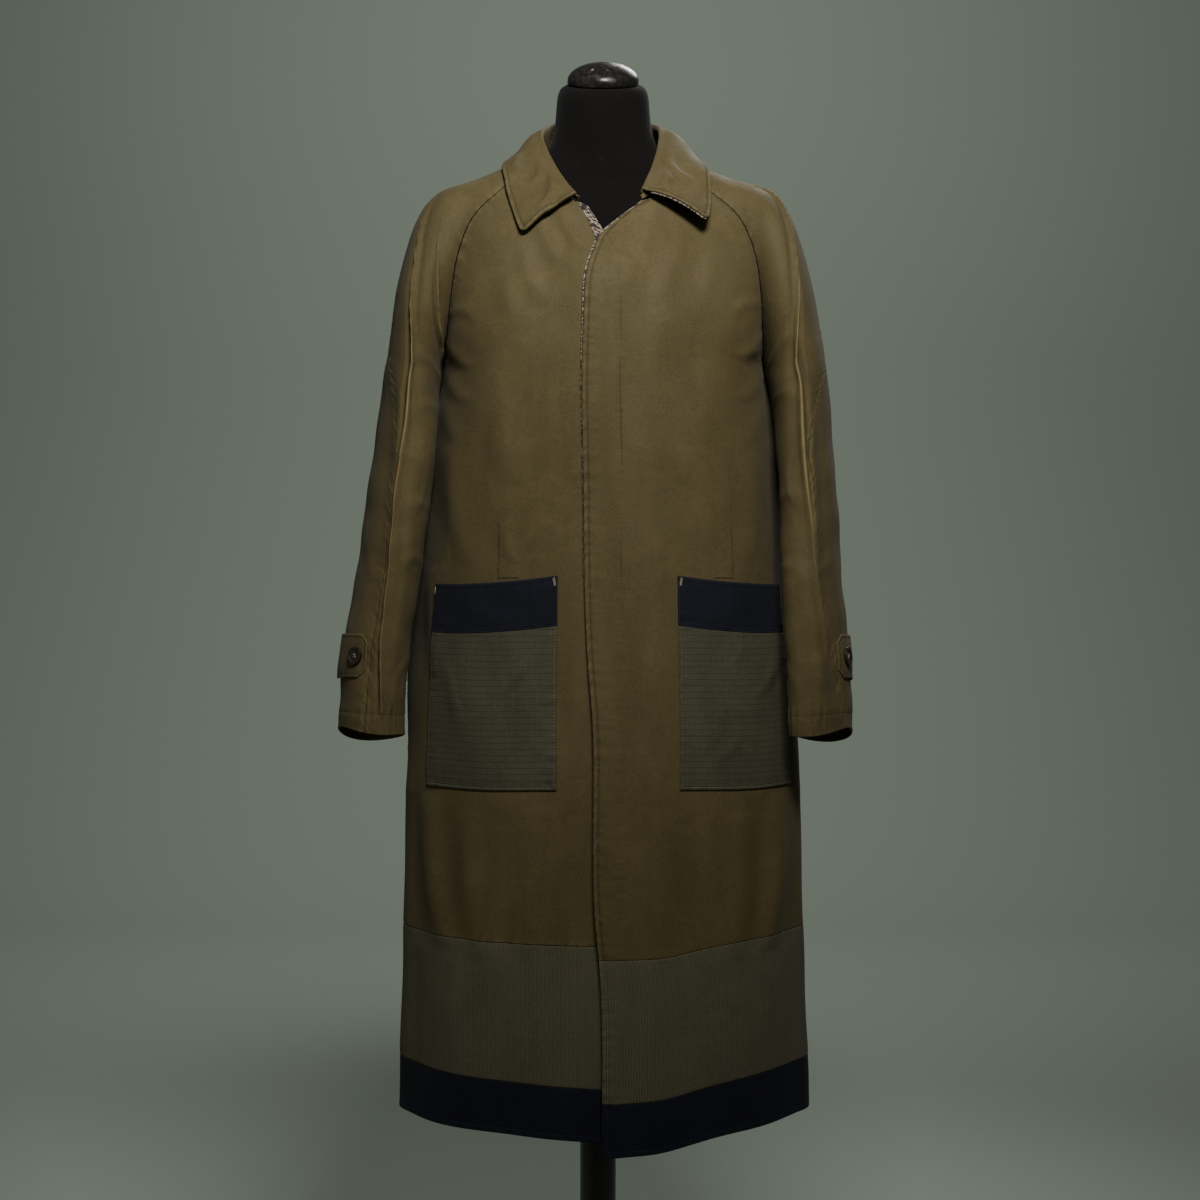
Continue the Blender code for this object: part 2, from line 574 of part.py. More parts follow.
def build_facing(points, normals, side):
    """The tweed strip that shows beyond a front's edge: a wide one in the neck of the under
    front, and a narrow one down the over front to the pockets."""
    if side > 0:
        rows, wide, lift = slice(0, 11), FACING_EDGE, -0.0008
    else:
        rows, wide, lift = slice(0, 4), FACING_NECK, 0.0
    edge = points[rows, 0] + normals[rows, 0] * lift
    out = unit(points[rows, 0] - points[rows, 1])
    share = np.linspace(0, 1, 3)[:, None, None]
    strip = edge + out * GAP + out * wide * share
    strip -= normals[rows, 0] * share ** 2 * wide * 0.12
    if side < 0:
        strip = tuck_under(strip, ["front_left", "facing_left"])
    wall("facing_left" if side > 0 else "facing_right", strip.transpose(1, 0, 2),
         np.repeat(normals[rows, 0][:, None], 3, axis=1), THIN - 0.0002, "tweed")


def build_back():
    count = 25
    turns = np.linspace(1, 3, count)
    signed = np.where(turns <= 2, turns, turns - 4)

    def part(top, bottom, rows):
        share = np.linspace(0, 1, rows)[:, None]
        ends = []
        for level in (top, bottom):
            flat = isinstance(level, float)
            ends.append(np.full(count, level) if flat else seam_height(level, signed))
        heights = ends[0] * (1 - share) + ends[1] * share
        return body_wall(np.broadcast_to(signed, heights.shape), heights)

    lower, lower_normals = part(ARM_Z, 0, 9)
    centre = table(SHOULDER, UPPER_ROWS)
    start = np.stack([np.zeros(len(UPPER_ROWS)), centre[:, 0], centre[:, 1]], -1)
    half = (count + 1) // 2
    share = np.linspace(0, 1, half)
    left = upper_grid(SHOULDER, UPPER_ROWS, share, 1, start, lower[0, :half][::-1])
    right = upper_grid(SHOULDER, UPPER_ROWS, share, -1, start, lower[0, half - 1:])
    upper = np.concatenate([left[:, ::-1], right[:, 1:]], axis=1)
    points = np.concatenate([upper[:0:-1], lower])
    normals = grid_normals(points, -1)
    normals[len(upper):] = lower_normals[1:]
    wall("back", points, normals, CLOTH, "khaki")
    for which, below, suffix, cloth, rows in ((0, 1, "_panel", "olive", 4), (1, 2, "_hem", "navy", 3)):
        points, normals = part(which, below, rows)
        wall("back" + suffix, points, normals, CLOTH, cloth)


def build_sleeves():
    rows = np.concatenate([UPPER_ROWS[::-1], HANGING_ROWS])
    for side, name in ((1, "sleeve_left"), (-1, "sleeve_right")):
        seam = seam_turn(rows, side)[:, None]
        for suffix, turns in (("_front", np.linspace(0, 1, 9) * seam),
                              ("_back", seam + (2 - seam) * np.linspace(0, 1, 12))):
            row_grid = np.broadcast_to(rows[:, None], turns.shape)
            points, normals = arm_wall(row_grid, turns, side)
            wall(name + suffix, points, normals, CLOTH, "khaki")


# ---- collar -------------------------------------------------------------------------------
def neck_line(part, side):
    """The neck seam from the back (0) over the sleeve's top to the front corner (1)."""
    top = np.ones_like(part)
    centre = table(SHOULDER, top)
    behind = upper_row(SHOULDER, top, np.stack([0 * top, centre[:, 0], centre[:, 1]], -1), side,
                       np.clip(part / 0.40, 0, 1))
    over = arm_ring(top, 2 - 2 * np.clip((part - 0.40) / 0.20, 0, 1), side)
    front = upper_row(CHEST, top, chest_start(top, side), side, 1 - np.clip((part - 0.60) / 0.40, 0, 1))
    line = np.where((part < 0.40)[:, None], behind, over)
    return np.where((part > 0.60)[:, None], front, line)


def collar_rows(part, side):
    """Outside points of the collar: up the inside of the stand, over the fold, down the leaf."""
    values = table(COLLAR[side], part)
    flip = np.array([side, 1, 1])
    fold, edge = values[:, 0:3] * flip, values[:, 3:6] * flip
    seam = neck_line(part, side) + np.array([0, 0, 0.0018])
    fall = edge - fold
    length = np.linalg.norm(fall, axis=1, keepdims=True)
    out = unit(fall * np.array([1, 1, 0]))
    seam = seam - out * 0.0022
    rows = [seam, seam * 0.45 + fold * 0.55 - out * 0.0022, fold - out * 0.0020 - [0, 0, 0.004],
            fold, fold + out * 0.0034 - [0, 0, 0.0022]]
    belly = values[:, 6:7] * np.array([0, 0, 1]) + out * values[:, 6:7] * 0.55
    start = rows[-1]
    for share in (0.12, 0.28, 0.46, 0.64, 0.82, 1.0):
        bulge = 4 * share * (1 - share) * (1 - 0.35 * share)
        rows.append(start + (edge - start) * share + belly * bulge * np.minimum(length / 0.075, 1))
    return np.stack(rows)


def rest_on(points, tree, distance):
    """Lift a grid whose corners, edges or middles lie nearer to the cloth below than this."""
    points = points.copy()
    rows, columns = points.shape[:2]
    index = np.arange(rows * columns).reshape(rows, columns)
    groups = [(corner,) for corner in index.ravel()]
    groups += list(zip(index[1:].ravel(), index[:-1].ravel()))
    groups += list(zip(index[:, 1:].ravel(), index[:, :-1].ravel()))
    groups += list(zip(index[1:, 1:].ravel(), index[:-1, :-1].ravel()))
    flat = points.reshape(-1, 3)
    for _ in range(REST_PASSES):
        lift = np.zeros_like(flat)
        for group in groups:
            middle = Vector(flat[list(group)].mean(axis=0))
            place, normal = tree.find_nearest(middle)[:2]
            if normal.z < -0.2:
                continue
            short = distance - (middle - place).dot(normal)
            if short > 0:
                for corner in group:
                    if short > np.linalg.norm(lift[corner]):
                        lift[corner] = np.array(normal) * short
        flat += lift
    return flat.reshape(points.shape)


def tree_of(names):
    """The whole walls of these pieces, to measure from."""
    points, faces = [], []
    for name in names:
        mesh = bpy.data.objects[name].data
        first = len(points)
        points += [vertex.co.copy() for vertex in mesh.vertices]
        faces += [[first + corner for corner in polygon.vertices] for polygon in mesh.polygons]
    return BVHTree.FromPolygons(points, faces)


def outside_of(names):
    """The outer faces alone of these walls, each turned outwards."""
    points, faces = [], []
    for name in names:
        mesh = bpy.data.objects[name].data
        first, outer = len(points), len(mesh.vertices) // 2
        points += [vertex.co.copy() for vertex in mesh.vertices]
        faces += [[first + corner for corner in polygon.vertices] for polygon in mesh.polygons
                  if max(polygon.vertices) < outer]
    return BVHTree.FromPolygons(points, faces)


def build_collar():
    halves = {side: collar_rows(COLLAR_PARTS, side) for side in (-1, 1)}
    points = np.concatenate([halves[-1][:, :0:-1], halves[1]], axis=1)
    cloth = outside_of(["front_left", "front_right", "back", "sleeve_left_front", "sleeve_left_back",
                        "sleeve_right_front", "sleeve_right_back"])
    shift = np.array([COAT_X, 0, 0])
    points[6:] = rest_on(points[6:] + shift, cloth, LEAF + THIN + 5 * GAP) - shift
    normals = grid_normals(points)
    wall("collar", points, normals, LEAF, "khaki")
    under = points[6:] - normals[6:] * (LEAF + GAP + 0.0002)
    wall("under_collar", under, normals[6:], THIN, "tweed", inset=0.0006)


# ---- what lies on the panels --------------------------------------------------------------
def quarter_length(height):
    """Length of the front quarter of the body's section."""
    turns = np.linspace(0, 1, 60)
    points = body_point(turns, np.full(60, height))
    return np.linalg.norm(np.diff(points, axis=0), axis=1).sum()


def on_front(side, near, heights, lift):
    """Points on a front panel: near is the distance along the cloth from the centre front."""
    lengths = np.interp(heights, [0.8, 1.2], [quarter_length(0.8), quarter_length(1.2)])
    turns = (CENTRE_X + side * near) / lengths
    points, normals = body_wall(turns, heights)
    points += normals * (front_lift(points, side) + lift)[..., None]
    return points, normals


def build_pockets():
    wide = np.linspace(0, 1, 12)
    for side, name in ((1, "left"), (-1, "right")):
        out = POCKET_NEAR + POCKET_WIDE * wide
        mouth = POCKET_TOP + POCKET_SLOPE * POCKET_WIDE * wide - 0.003 * np.sin(math.pi * wide)
        join = mouth - BAND_DEEP
        for top, foot, rows, node, cloth in (
                (mouth, join, 3, "pocket_band_", "navy"),
                (join, np.full_like(join, POCKET_FOOT), 7, "pocket_", "ripstop")):
            share = np.linspace(0, 1, rows)[:, None]
            heights = top * (1 - share) + foot * share
            near = np.broadcast_to(out, heights.shape)
            points, normals = on_front(side, near, heights, LAID + THIN)
            wall(node + name, points, normals, THIN, cloth)
        slope = np.linspace(0, 1, 3)
        top = WELT_TOP + WELT_SLOPE * WELT_WIDE * slope
        foot = np.full_like(top, POCKET_TOP + POCKET_SLOPE * WELT_NEAR + 0.003)
        share = np.linspace(0, 1, 4)[:, None]
        heights = top * (1 - share) + foot * share
        near = np.broadcast_to(WELT_NEAR + WELT_WIDE * slope, heights.shape)
        points, normals = on_front(side, near, heights, LAID + THIN)
        wall("welt_" + name, points, normals, THIN, "khaki")


def build_tabs():
    for side, name in ((1, "left"), (-1, "right")):
        middle = sum(TAB_ROWS) / 2
        seam = float(seam_turn(np.array([middle]), side)[0])
        turns = seam + 0.04 + TAB_ROUND * np.array([0, 0.10, 0.25, 0.40, 0.55, 0.70, 0.85, 1.0])
        half = (TAB_ROWS[0] - TAB_ROWS[1]) / 2 * np.array([0.25, 0.72, 1, 1, 1, 1, 1, 1])
        share = np.linspace(1, -1, 4)[:, None]
        rows = middle + share * half
        turn_grid = np.broadcast_to(turns, rows.shape)
        points, normals = arm_wall(rows, turn_grid, side)
        points = points + normals * (TAB_LAID + THIN)
        wall("tab_" + name, points, normals, THIN, "khaki")
        centre, out = arm_wall(np.array([[middle]]), np.array([[seam + 0.04 + TAB_ROUND * 0.24]]), side)
        add_button("button_" + name, centre[0, 0] + out[0, 0] * (TAB_LAID + THIN + BUTTON_LIFT), out[0, 0])


def turned(name, profile, sides, material):
    """A round solid from a profile of radius and height that starts and ends on the axis."""
    points, faces = [(0, 0, profile[0][1])], []
    for radius, height in profile[1:-1]:
        turns = [2 * math.pi * k / sides for k in range(sides)]
        points += [(radius * math.cos(turn), radius * math.sin(turn), height) for turn in turns]
    points.append((0, 0, profile[-1][1]))
    rings = len(profile) - 2
    for k in range(sides):
        after = (k + 1) % sides
        faces.append((0, 1 + after, 1 + k))
        for ring in range(rings - 1):
            low, high = 1 + ring * sides, 1 + (ring + 1) * sides
            faces.append((low + k, low + after, high + after, high + k))
        last = 1 + (rings - 1) * sides
        faces.append((last + k, last + after, len(points) - 1))
    return add_mesh(name, points, faces, material)


def add_button(name, place, out):
    """A turned four-hole button with a raised rim, lying against the tab."""
    r, t = BUTTON_RADIUS, BUTTON_THICK
    item = turned(name, [(0, 0), (r * 0.80, 0), (r, t * 0.35), (r, t * 0.70), (r * 0.92, t),
                         (r * 0.72, t), (r * 0.62, t * 0.72), (0, t * 0.72)], 24, "horn")
    cutter = bpy.data.objects.new(name + "_holes", bpy.data.meshes.new(name + "_holes"))
    holes = bmesh.new()
    for x, y in ((1, 1), (1, -1), (-1, 1), (-1, -1)):
        made = bmesh.ops.create_cone(holes, cap_ends=True, segments=8, radius1=HOLE_RADIUS,
                                     radius2=HOLE_RADIUS, depth=6 * t)
        bmesh.ops.translate(holes, verts=made["verts"], vec=(x * HOLE_OUT, y * HOLE_OUT, 0))
    holes.to_mesh(cutter.data)
    holes.free()
    bpy.context.collection.objects.link(cutter)
    cutter.hide_render = True
    cutter.display_type = "WIRE"
    turn = Vector(out).to_track_quat("Z", "Y").to_euler()
    for each in (item, cutter):
        each.location = Vector(place) + Vector((COAT_X, 0, 0))
        each.rotation_euler = turn
    cut = item.modifiers.new("holes", "BOOLEAN")
    cut.operation = "DIFFERENCE"
    cut.object = cutter


# ---- the dress form -----------------------------------------------------------------------
def room_above(ring, coat):
    """How far a ring of the form can rise before it meets the coat's inner face."""
    room = []
    for point in ring:
        below = Vector(point) - Vector((0, 0, 0.03))
        place = coat.ray_cast(below, Vector((0, 0, 1)), 0.08)[0]
        if place is not None:
            room.append(place.z - point[2])
    return min(room)


def build_form():
    sides = 32
    coat = tree_of(["back", "front_left", "front_right", "sleeve_left_front", "sleeve_left_back",
                    "sleeve_right_front", "sleeve_right_back"])
    angle = np.linspace(0, 2 * math.pi, sides, endpoint=False)
    rings = []
    for height, half_width, front, back in FORM:
        power = 2 / (2.3 if height < 1.45 else 2.0)
        cos, sin = np.cos(angle), np.sin(angle)
        x = half_width * np.sign(sin) * np.abs(sin) ** power
        depth = np.where(cos > 0, -front, back)
        y = depth * np.abs(cos) ** power
        slant = NECK_SLANT * float(blend(SLANT_FROM, SLANT_TO, height))
        ring = np.stack([x + COAT_X, y, height + slant * y], -1)
        if SHOULDER_FROM < height < SHOULDER_TO:
            ring[:, 2] += room_above(ring, coat) - SEAT
        rings.append(ring)
    points = np.concatenate(rings)
    faces = [tuple(range(sides)), tuple(range(len(points) - sides, len(points)))]
    for ring in range(len(rings) - 1):
        for k in range(sides):
            after = (k + 1) % sides
            faces.append((ring * sides + k, ring * sides + after,
                          (ring + 1) * sides + after, (ring + 1) * sides + k))
    add_mesh("form_body", points, faces, "jersey")
    r, h, lip = CAP_RADIUS, CAP_HIGH, CAP_LIP
    dome = [(r * math.cos(a), lip + (h - lip) * math.sin(a)) for a in np.linspace(0, math.pi / 2, 8)[:-1]]
    cap = turned("form_cap", [(0, 0), (r * 0.96, 0), (r, lip * 0.4)] + dome + [(0, h)], 40, "lacquer")
    cap.location = (COAT_X, 0, FORM[-1, 0] + GAP * math.hypot(1, NECK_SLANT))
    cap.rotation_euler = (math.atan(NECK_SLANT), 0, 0)
    pole = turned("form_pole", [(0, 0), (POLE_RADIUS, 0), (POLE_RADIUS, FORM[0, 0] - GAP - BASE_THICK - GAP),
                                (0, FORM[0, 0] - GAP - BASE_THICK - GAP)], 32, "iron")
    pole.location = (0, 0, BASE_THICK + GAP)
    edge = 0.003
    turned("form_base", [(0, 0), (BASE_RADIUS, 0), (BASE_RADIUS, BASE_THICK - edge),
                         (BASE_RADIUS - edge, BASE_THICK), (0, BASE_THICK)], 64, "iron")


def main():
    for item in list(bpy.data.objects):
        bpy.data.objects.remove(item)
    build_fronts()
    build_back()
    build_sleeves()
    build_collar()
    build_pockets()
    build_tabs()
    build_form()


main()
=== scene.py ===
"""Looks of a raglan coat worn by a limbless dress form: cloth, seams, weaves and the stand.

Metres, +Z up. X runs across the coat (+X is the wearer's left) and the coat faces -Y.
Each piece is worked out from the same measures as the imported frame, on a finer grid.
"""
import math

import bpy
import numpy as np
from bpy.props import FloatProperty, FloatVectorProperty, PointerProperty
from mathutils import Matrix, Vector
from mathutils.bvhtree import BVHTree


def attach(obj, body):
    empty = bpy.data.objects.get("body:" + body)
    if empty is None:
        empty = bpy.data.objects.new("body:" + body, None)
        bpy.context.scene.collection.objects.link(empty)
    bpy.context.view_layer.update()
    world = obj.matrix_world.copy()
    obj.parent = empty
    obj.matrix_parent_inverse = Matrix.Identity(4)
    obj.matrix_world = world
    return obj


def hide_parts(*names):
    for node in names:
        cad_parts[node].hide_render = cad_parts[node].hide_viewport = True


bl_info = {
    "name": "Raglan coat on a dress form",
    "version": (1, 0, 0),
    "blender": (4, 5, 0),
    "location": "3D View > Sidebar > Coat",
    "description": "Builds the cloth, seams and finishes of a raglan coat and the form that carries it",
    "category": "Object",
}

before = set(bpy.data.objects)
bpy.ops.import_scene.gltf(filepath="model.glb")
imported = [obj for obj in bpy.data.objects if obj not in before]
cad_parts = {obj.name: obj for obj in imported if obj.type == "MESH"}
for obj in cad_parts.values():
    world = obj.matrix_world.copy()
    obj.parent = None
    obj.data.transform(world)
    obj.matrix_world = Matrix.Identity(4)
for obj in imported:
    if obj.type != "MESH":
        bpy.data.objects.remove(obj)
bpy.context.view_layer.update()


# ---- what a user would change -------------------------------------------------------------
class CoatSizes(bpy.types.PropertyGroup):
    """Sizes of the cloth, its relief and its sewing."""
    grid: FloatProperty(name="Grid", description="Spacing of the points of a panel",
                        default=0.0036, min=0.002, max=0.02, unit="LENGTH")
    shell: FloatProperty(name="Shell", description="Thickness of a panel with its backing",
                         default=0.0020, min=0.001, max=0.003, unit="LENGTH")
    thin: FloatProperty(name="Thin cloth", description="Thickness of pockets, tabs, welts and tweed",
                        default=0.0012, min=0.0008, max=0.002, unit="LENGTH")
    folds: FloatProperty(name="Folds", description="How deep the folds hang, 1 as modelled",
                         default=1.0, min=0.0, max=1.5)
    pucker: FloatProperty(name="Pucker", description="How much the sewing gathers the seams",
                          default=0.00085, min=0.0, max=0.002, unit="LENGTH")
    stitch: FloatProperty(name="Stitch", description="Length of one topstitch with its gap",
                          default=0.0034, min=0.002, max=0.006, unit="LENGTH")
    inset: FloatProperty(name="Topstitch", description="Distance of the topstitching from an edge",
                         default=0.0060, min=0.002, max=0.012, unit="LENGTH")


def colour(name, description, value):
    return FloatVectorProperty(name=name, description=description, default=value, min=0, max=1,
                               size=3, subtype="COLOR")


class CoatColours(bpy.types.PropertyGroup):
    """Colours of the cloths, linear red, green and blue."""
    khaki: colour("Khaki", "Shell cloth of the body, sleeves and collar", (0.087, 0.067, 0.0255))
    olive: colour("Olive", "Ribbed cloth of the lower panel", (0.086, 0.080, 0.045))
    ripstop: colour("Ripstop", "Cloth of the patch pockets", (0.055, 0.052, 0.030))
    navy: colour("Navy", "Cloth of the hem and the pocket bands", (0.0055, 0.0060, 0.0105))
    cream: colour("Cream", "Light yarn of the tweed, and the bar tacks", (0.400, 0.335, 0.240))
    tan: colour("Tan", "Middle yarn of the tweed", (0.230, 0.140, 0.070))
    black: colour("Black", "Dark yarn of the tweed", (0.012, 0.010, 0.010))
    horn: colour("Horn", "Buttons", (0.018, 0.010, 0.006))
    jersey: colour("Jersey", "Cover of the dress form", (0.0033, 0.0028, 0.0025))
    lacquer: colour("Lacquer", "Cap of the dress form", (0.0110, 0.0095, 0.0085))
    iron: colour("Iron", "Pole and base", (0.0200, 0.0175, 0.0155))


# ---- measures of the frame -------------------------------------------------------------------
COAT_X = 0.006               # the coat hangs this far from the pole's axis
LEAF = 0.0018                # collar cloth
GAP = 0.0003                 # between pieces that are sewn or lie together
OVERLAP_X = 0.045            # the hidden edge of the under front
UNDER_FROM, UNDER_TO = -0.05, 0.06   # across, where it is tucked behind the over front
FACING_NECK = 0.0090         # tweed in the neck opening, on the under front's side
CENTRE_X = 0.0165            # the garment's centre front line
FLY_X = 0.0205               # the stitching that holds the fly, low on the chest
ARM_Z = 1.290                # underarm point
ROUNDNESS = 2.4              # exponent of the body's sections

# Body sections below the underarm: height, half width, depth to the front and to the back
BODY = np.array([
    (1.330, 0.186, 0.156, 0.130),
    (1.290, 0.188, 0.158, 0.128),
    (1.200, 0.194, 0.160, 0.122),
    (1.100, 0.203, 0.162, 0.118),
    (1.000, 0.213, 0.168, 0.126),
    (0.900, 0.226, 0.177, 0.142),
    (0.800, 0.2335, 0.184, 0.154),
    (0.650, 0.2345, 0.191, 0.162),
    (0.540, 0.2370, 0.196, 0.166),
    (0.400, 0.2410, 0.200, 0.170)])

# Heights of the two cross seams and the hem, and the over front's sag, by the part of a
# quarter round from the front
SEAMS = np.array([
    (0.00, 0.6385, 0.4825, 0.4245, 0.0145),
    (0.20, 0.6395, 0.4865, 0.4290, 0.0125),
    (0.35, 0.6405, 0.4895, 0.4320, 0.0050),
    (0.60, 0.6425, 0.4925, 0.4335, 0.0010),
    (1.00, 0.6470, 0.4965, 0.4365, 0.0000),
    (2.00, 0.6440, 0.4930, 0.4350, 0.0000)])

# The over front's visible edge: height and place across
EDGE = np.array([
    (1.428, -0.0056), (1.396, -0.0170), (1.330, -0.0223), (1.148, -0.0223), (0.940, -0.0167),
    (0.900, -0.0133), (0.660, -0.0088), (0.620, -0.0050), (0.400, -0.0015)])

# Rows of the upper fronts from the underarm (0) to the neck (1): the centre's y and z, the
# raglan seam's x, y and z, and the cloth's direction where it meets the seam
CHEST = np.array([
    (0.00, -0.158, 1.290, 0.1880, 0.0000, 1.290, 0.00, 1.00, 0.00),
    (0.12, -0.156, 1.316, 0.1875, -0.0320, 1.300, 0.10, 0.99, 0.05),
    (0.25, -0.152, 1.346, 0.1850, -0.0620, 1.330, 0.25, 0.95, 0.10),
    (0.38, -0.147, 1.378, 0.1820, -0.0800, 1.372, 0.50, 0.80, 0.20),
    (0.50, -0.139, 1.405, 0.1750, -0.0885, 1.415, 0.70, 0.62, 0.32),
    (0.62, -0.130, 1.428, 0.1600, -0.0900, 1.453, 0.75, 0.50, 0.42),
    (0.80, -0.121, 1.452, 0.1220, -0.0760, 1.493, 0.70, 0.50, 0.50),
    (1.00, -0.113, 1.474, 0.0770, -0.0450, 1.533, 0.35, 0.75, 0.55)])

# Rows of the upper back in the same manner
SHOULDER = np.array([
    (0.00, 0.128, 1.290, 0.1880, 0.0000, 1.290, 0.00, -1.00, 0.00),
    (0.12, 0.130, 1.322, 0.1875, 0.0320, 1.303, 0.10, -0.99, 0.05),
    (0.25, 0.133, 1.360, 0.1850, 0.0620, 1.338, 0.25, -0.95, 0.10),
    (0.38, 0.135, 1.400, 0.1810, 0.0850, 1.382, 0.50, -0.80, 0.20),
    (0.50, 0.134, 1.440, 0.1720, 0.0960, 1.425, 0.70, -0.60, 0.32),
    (0.62, 0.128, 1.478, 0.1550, 0.0980, 1.465, 0.75, -0.50, 0.42),
    (0.80, 0.106, 1.522, 0.1130, 0.0800, 1.512, 0.70, -0.50, 0.50),
    (1.00, 0.070, 1.562, 0.0700, 0.0330, 1.553, 0.50, -0.75, 0.35)])

# Top of the shoulder and outside of the upper arm for the same rows: its place, how far the
# cloth reaches from there to the front (x, y, z), and how far over the top
OUTSIDE = {
    -1: np.array([
        (0.00, 0.2540, 0.000, 1.318, -0.004, -0.140, 0.000, 0.120),
        (0.12, 0.2520, 0.004, 1.352, 0.002, -0.120, 0.020, 0.112),
        (0.25, 0.2440, 0.004, 1.390, 0.008, -0.085, 0.030, 0.102),
        (0.38, 0.2340, 0.004, 1.430, 0.012, -0.056, 0.038, 0.090),
        (0.50, 0.2220, 0.003, 1.466, 0.018, -0.030, 0.040, 0.074),
        (0.62, 0.2040, 0.002, 1.4930, 0.020, -0.012, 0.036, 0.058),
        (0.80, 0.1450, 0.000, 1.5190, 0.012, 0.006, 0.018, 0.036),
        (1.00, 0.0790, -0.005, 1.5465, 0.003, 0.012, 0.008, 0.014)]),
    1: np.array([
        (0.00, 0.2610, 0.000, 1.318, -0.004, -0.140, 0.000, 0.120),
        (0.12, 0.2575, 0.004, 1.352, 0.002, -0.120, 0.020, 0.112),
        (0.25, 0.2480, 0.004, 1.390, 0.008, -0.085, 0.030, 0.102),
        (0.38, 0.2370, 0.004, 1.430, 0.012, -0.056, 0.038, 0.090),
        (0.50, 0.2240, 0.003, 1.466, 0.018, -0.030, 0.040, 0.074),
        (0.62, 0.2065, 0.002, 1.4940, 0.020, -0.012, 0.036, 0.058),
        (0.80, 0.1480, 0.000, 1.5190, 0.012, 0.006, 0.018, 0.036),
        (1.00, 0.0790, -0.005, 1.5465, 0.003, 0.012, 0.008, 0.014)])}

# Share of its row that the cloth runs on straight before the raglan seam, by row
REACH = np.array([(0.00, 0.42), (0.12, 0.355), (0.25, 0.30), (0.38, 0.285), (0.55, 0.30), (1.00, 0.34)])

SEAM_IN = {-1: 0.0075, 1: 0.0}   # the wearer's right raglan seam lies further in

# The hanging sleeve by row: its inner and outer lines (x, y, z), how far it reaches to the
# front and the back of them, its swing towards the body, its pitch and its seam's turn
SLEEVE = {
    -1: np.array([
        (0.0, 0.1880, 0.000, 1.290, 0.2540, 0.000, 1.318, 0.140, 0.120, 0.03, 0.00, 0.86),
        (0.5, 0.1955, -0.006, 1.255, 0.2610, -0.002, 1.278, 0.132, 0.112, 0.06, 0.00, 0.72),
        (1.0, 0.1990, -0.016, 1.210, 0.2680, -0.010, 1.226, 0.122, 0.104, 0.10, -0.02, 0.63),
        (2.0, 0.2070, -0.038, 1.120, 0.2795, -0.030, 1.130, 0.104, 0.096, 0.15, 0.02, 0.62),
        (3.0, 0.2150, -0.054, 1.040, 0.2885, -0.046, 1.048, 0.092, 0.088, 0.20, 0.04, 0.62),
        (4.0, 0.2250, -0.068, 0.960, 0.3015, -0.060, 0.966, 0.080, 0.078, 0.22, 0.06, 0.62),
        (5.0, 0.2290, -0.078, 0.890, 0.3045, -0.072, 0.893, 0.072, 0.072, 0.22, 0.08, 0.62),
        (5.4, 0.2290, -0.080, 0.866, 0.3060, -0.074, 0.869, 0.070, 0.070, 0.22, 0.08, 0.62)]),
    1: np.array([
        (0.0, 0.1880, 0.000, 1.290, 0.2610, 0.000, 1.318, 0.140, 0.120, 0.03, 0.00, 0.92),
        (0.5, 0.1985, -0.008, 1.255, 0.2670, -0.004, 1.278, 0.132, 0.112, 0.04, 0.00, 0.74),
        (1.0, 0.2045, -0.020, 1.210, 0.2700, -0.014, 1.226, 0.122, 0.104, 0.07, -0.02, 0.55),
        (2.0, 0.2105, -0.046, 1.120, 0.2755, -0.038, 1.130, 0.104, 0.096, 0.14, 0.02, 0.58),
        (3.0, 0.2140, -0.066, 1.040, 0.2765, -0.060, 1.048, 0.092, 0.088, 0.22, 0.04, 0.64),
        (4.0, 0.2180, -0.088, 0.960, 0.2820, -0.080, 0.966, 0.080, 0.078, 0.26, 0.06, 0.76),
        (5.0, 0.2190, -0.102, 0.890, 0.2840, -0.094, 0.893, 0.072, 0.072, 0.28, 0.08, 0.84),
        (5.4, 0.2190, -0.104, 0.866, 0.2845, -0.096, 0.869, 0.070, 0.070, 0.28, 0.08, 0.84)])}

# The collar from the back of the neck (0) to its front corner (1): the fold line, the leaf's
# edge and its belly. The sides differ in front, because the over front pulls one leaf up.
COLLAR = {
    -1: np.array([
        (0.00, 0.0000, 0.0700, 1.5990, 0.0000, 0.1120, 1.5300, 0.014),
        (0.20, 0.0340, 0.0630, 1.5970, 0.0480, 0.1030, 1.5290, 0.014),
        (0.40, 0.0620, 0.0340, 1.5900, 0.0900, 0.0600, 1.5310, 0.013),
        (0.52, 0.0730, 0.0020, 1.5780, 0.1060, 0.0080, 1.5390, 0.012),
        (0.64, 0.0660, -0.0360, 1.5500, 0.1150, -0.0360, 1.5160, 0.009),
        (0.78, 0.0520, -0.0720, 1.5180, 0.1110, -0.0800, 1.4900, 0.007),
        (0.90, 0.0400, -0.1000, 1.4960, 0.1010, -0.1100, 1.4560, 0.005),
        (1.00, 0.0310, -0.1170, 1.4830, 0.0925, -0.1270, 1.4345, 0.003)]),
    1: np.array([
        (0.00, 0.0000, 0.0700, 1.5990, 0.0000, 0.1120, 1.5300, 0.014),
        (0.20, 0.0330, 0.0630, 1.5970, 0.0480, 0.1030, 1.5290, 0.014),
        (0.40, 0.0580, 0.0340, 1.5910, 0.0930, 0.0600, 1.5310, 0.013),
        (0.52, 0.0670, 0.0020, 1.5820, 0.1110, 0.0080, 1.5400, 0.013),
        (0.64, 0.0655, -0.0330, 1.5570, 0.1200, -0.0360, 1.5220, 0.011),
        (0.78, 0.0570, -0.0700, 1.5230, 0.1245, -0.0780, 1.4980, 0.008),
        (0.90, 0.0500, -0.0990, 1.5030, 0.1235, -0.1080, 1.4710, 0.007),
        (1.00, 0.0445, -0.1180, 1.4880, 0.1195, -0.1320, 1.4490, 0.006)])}

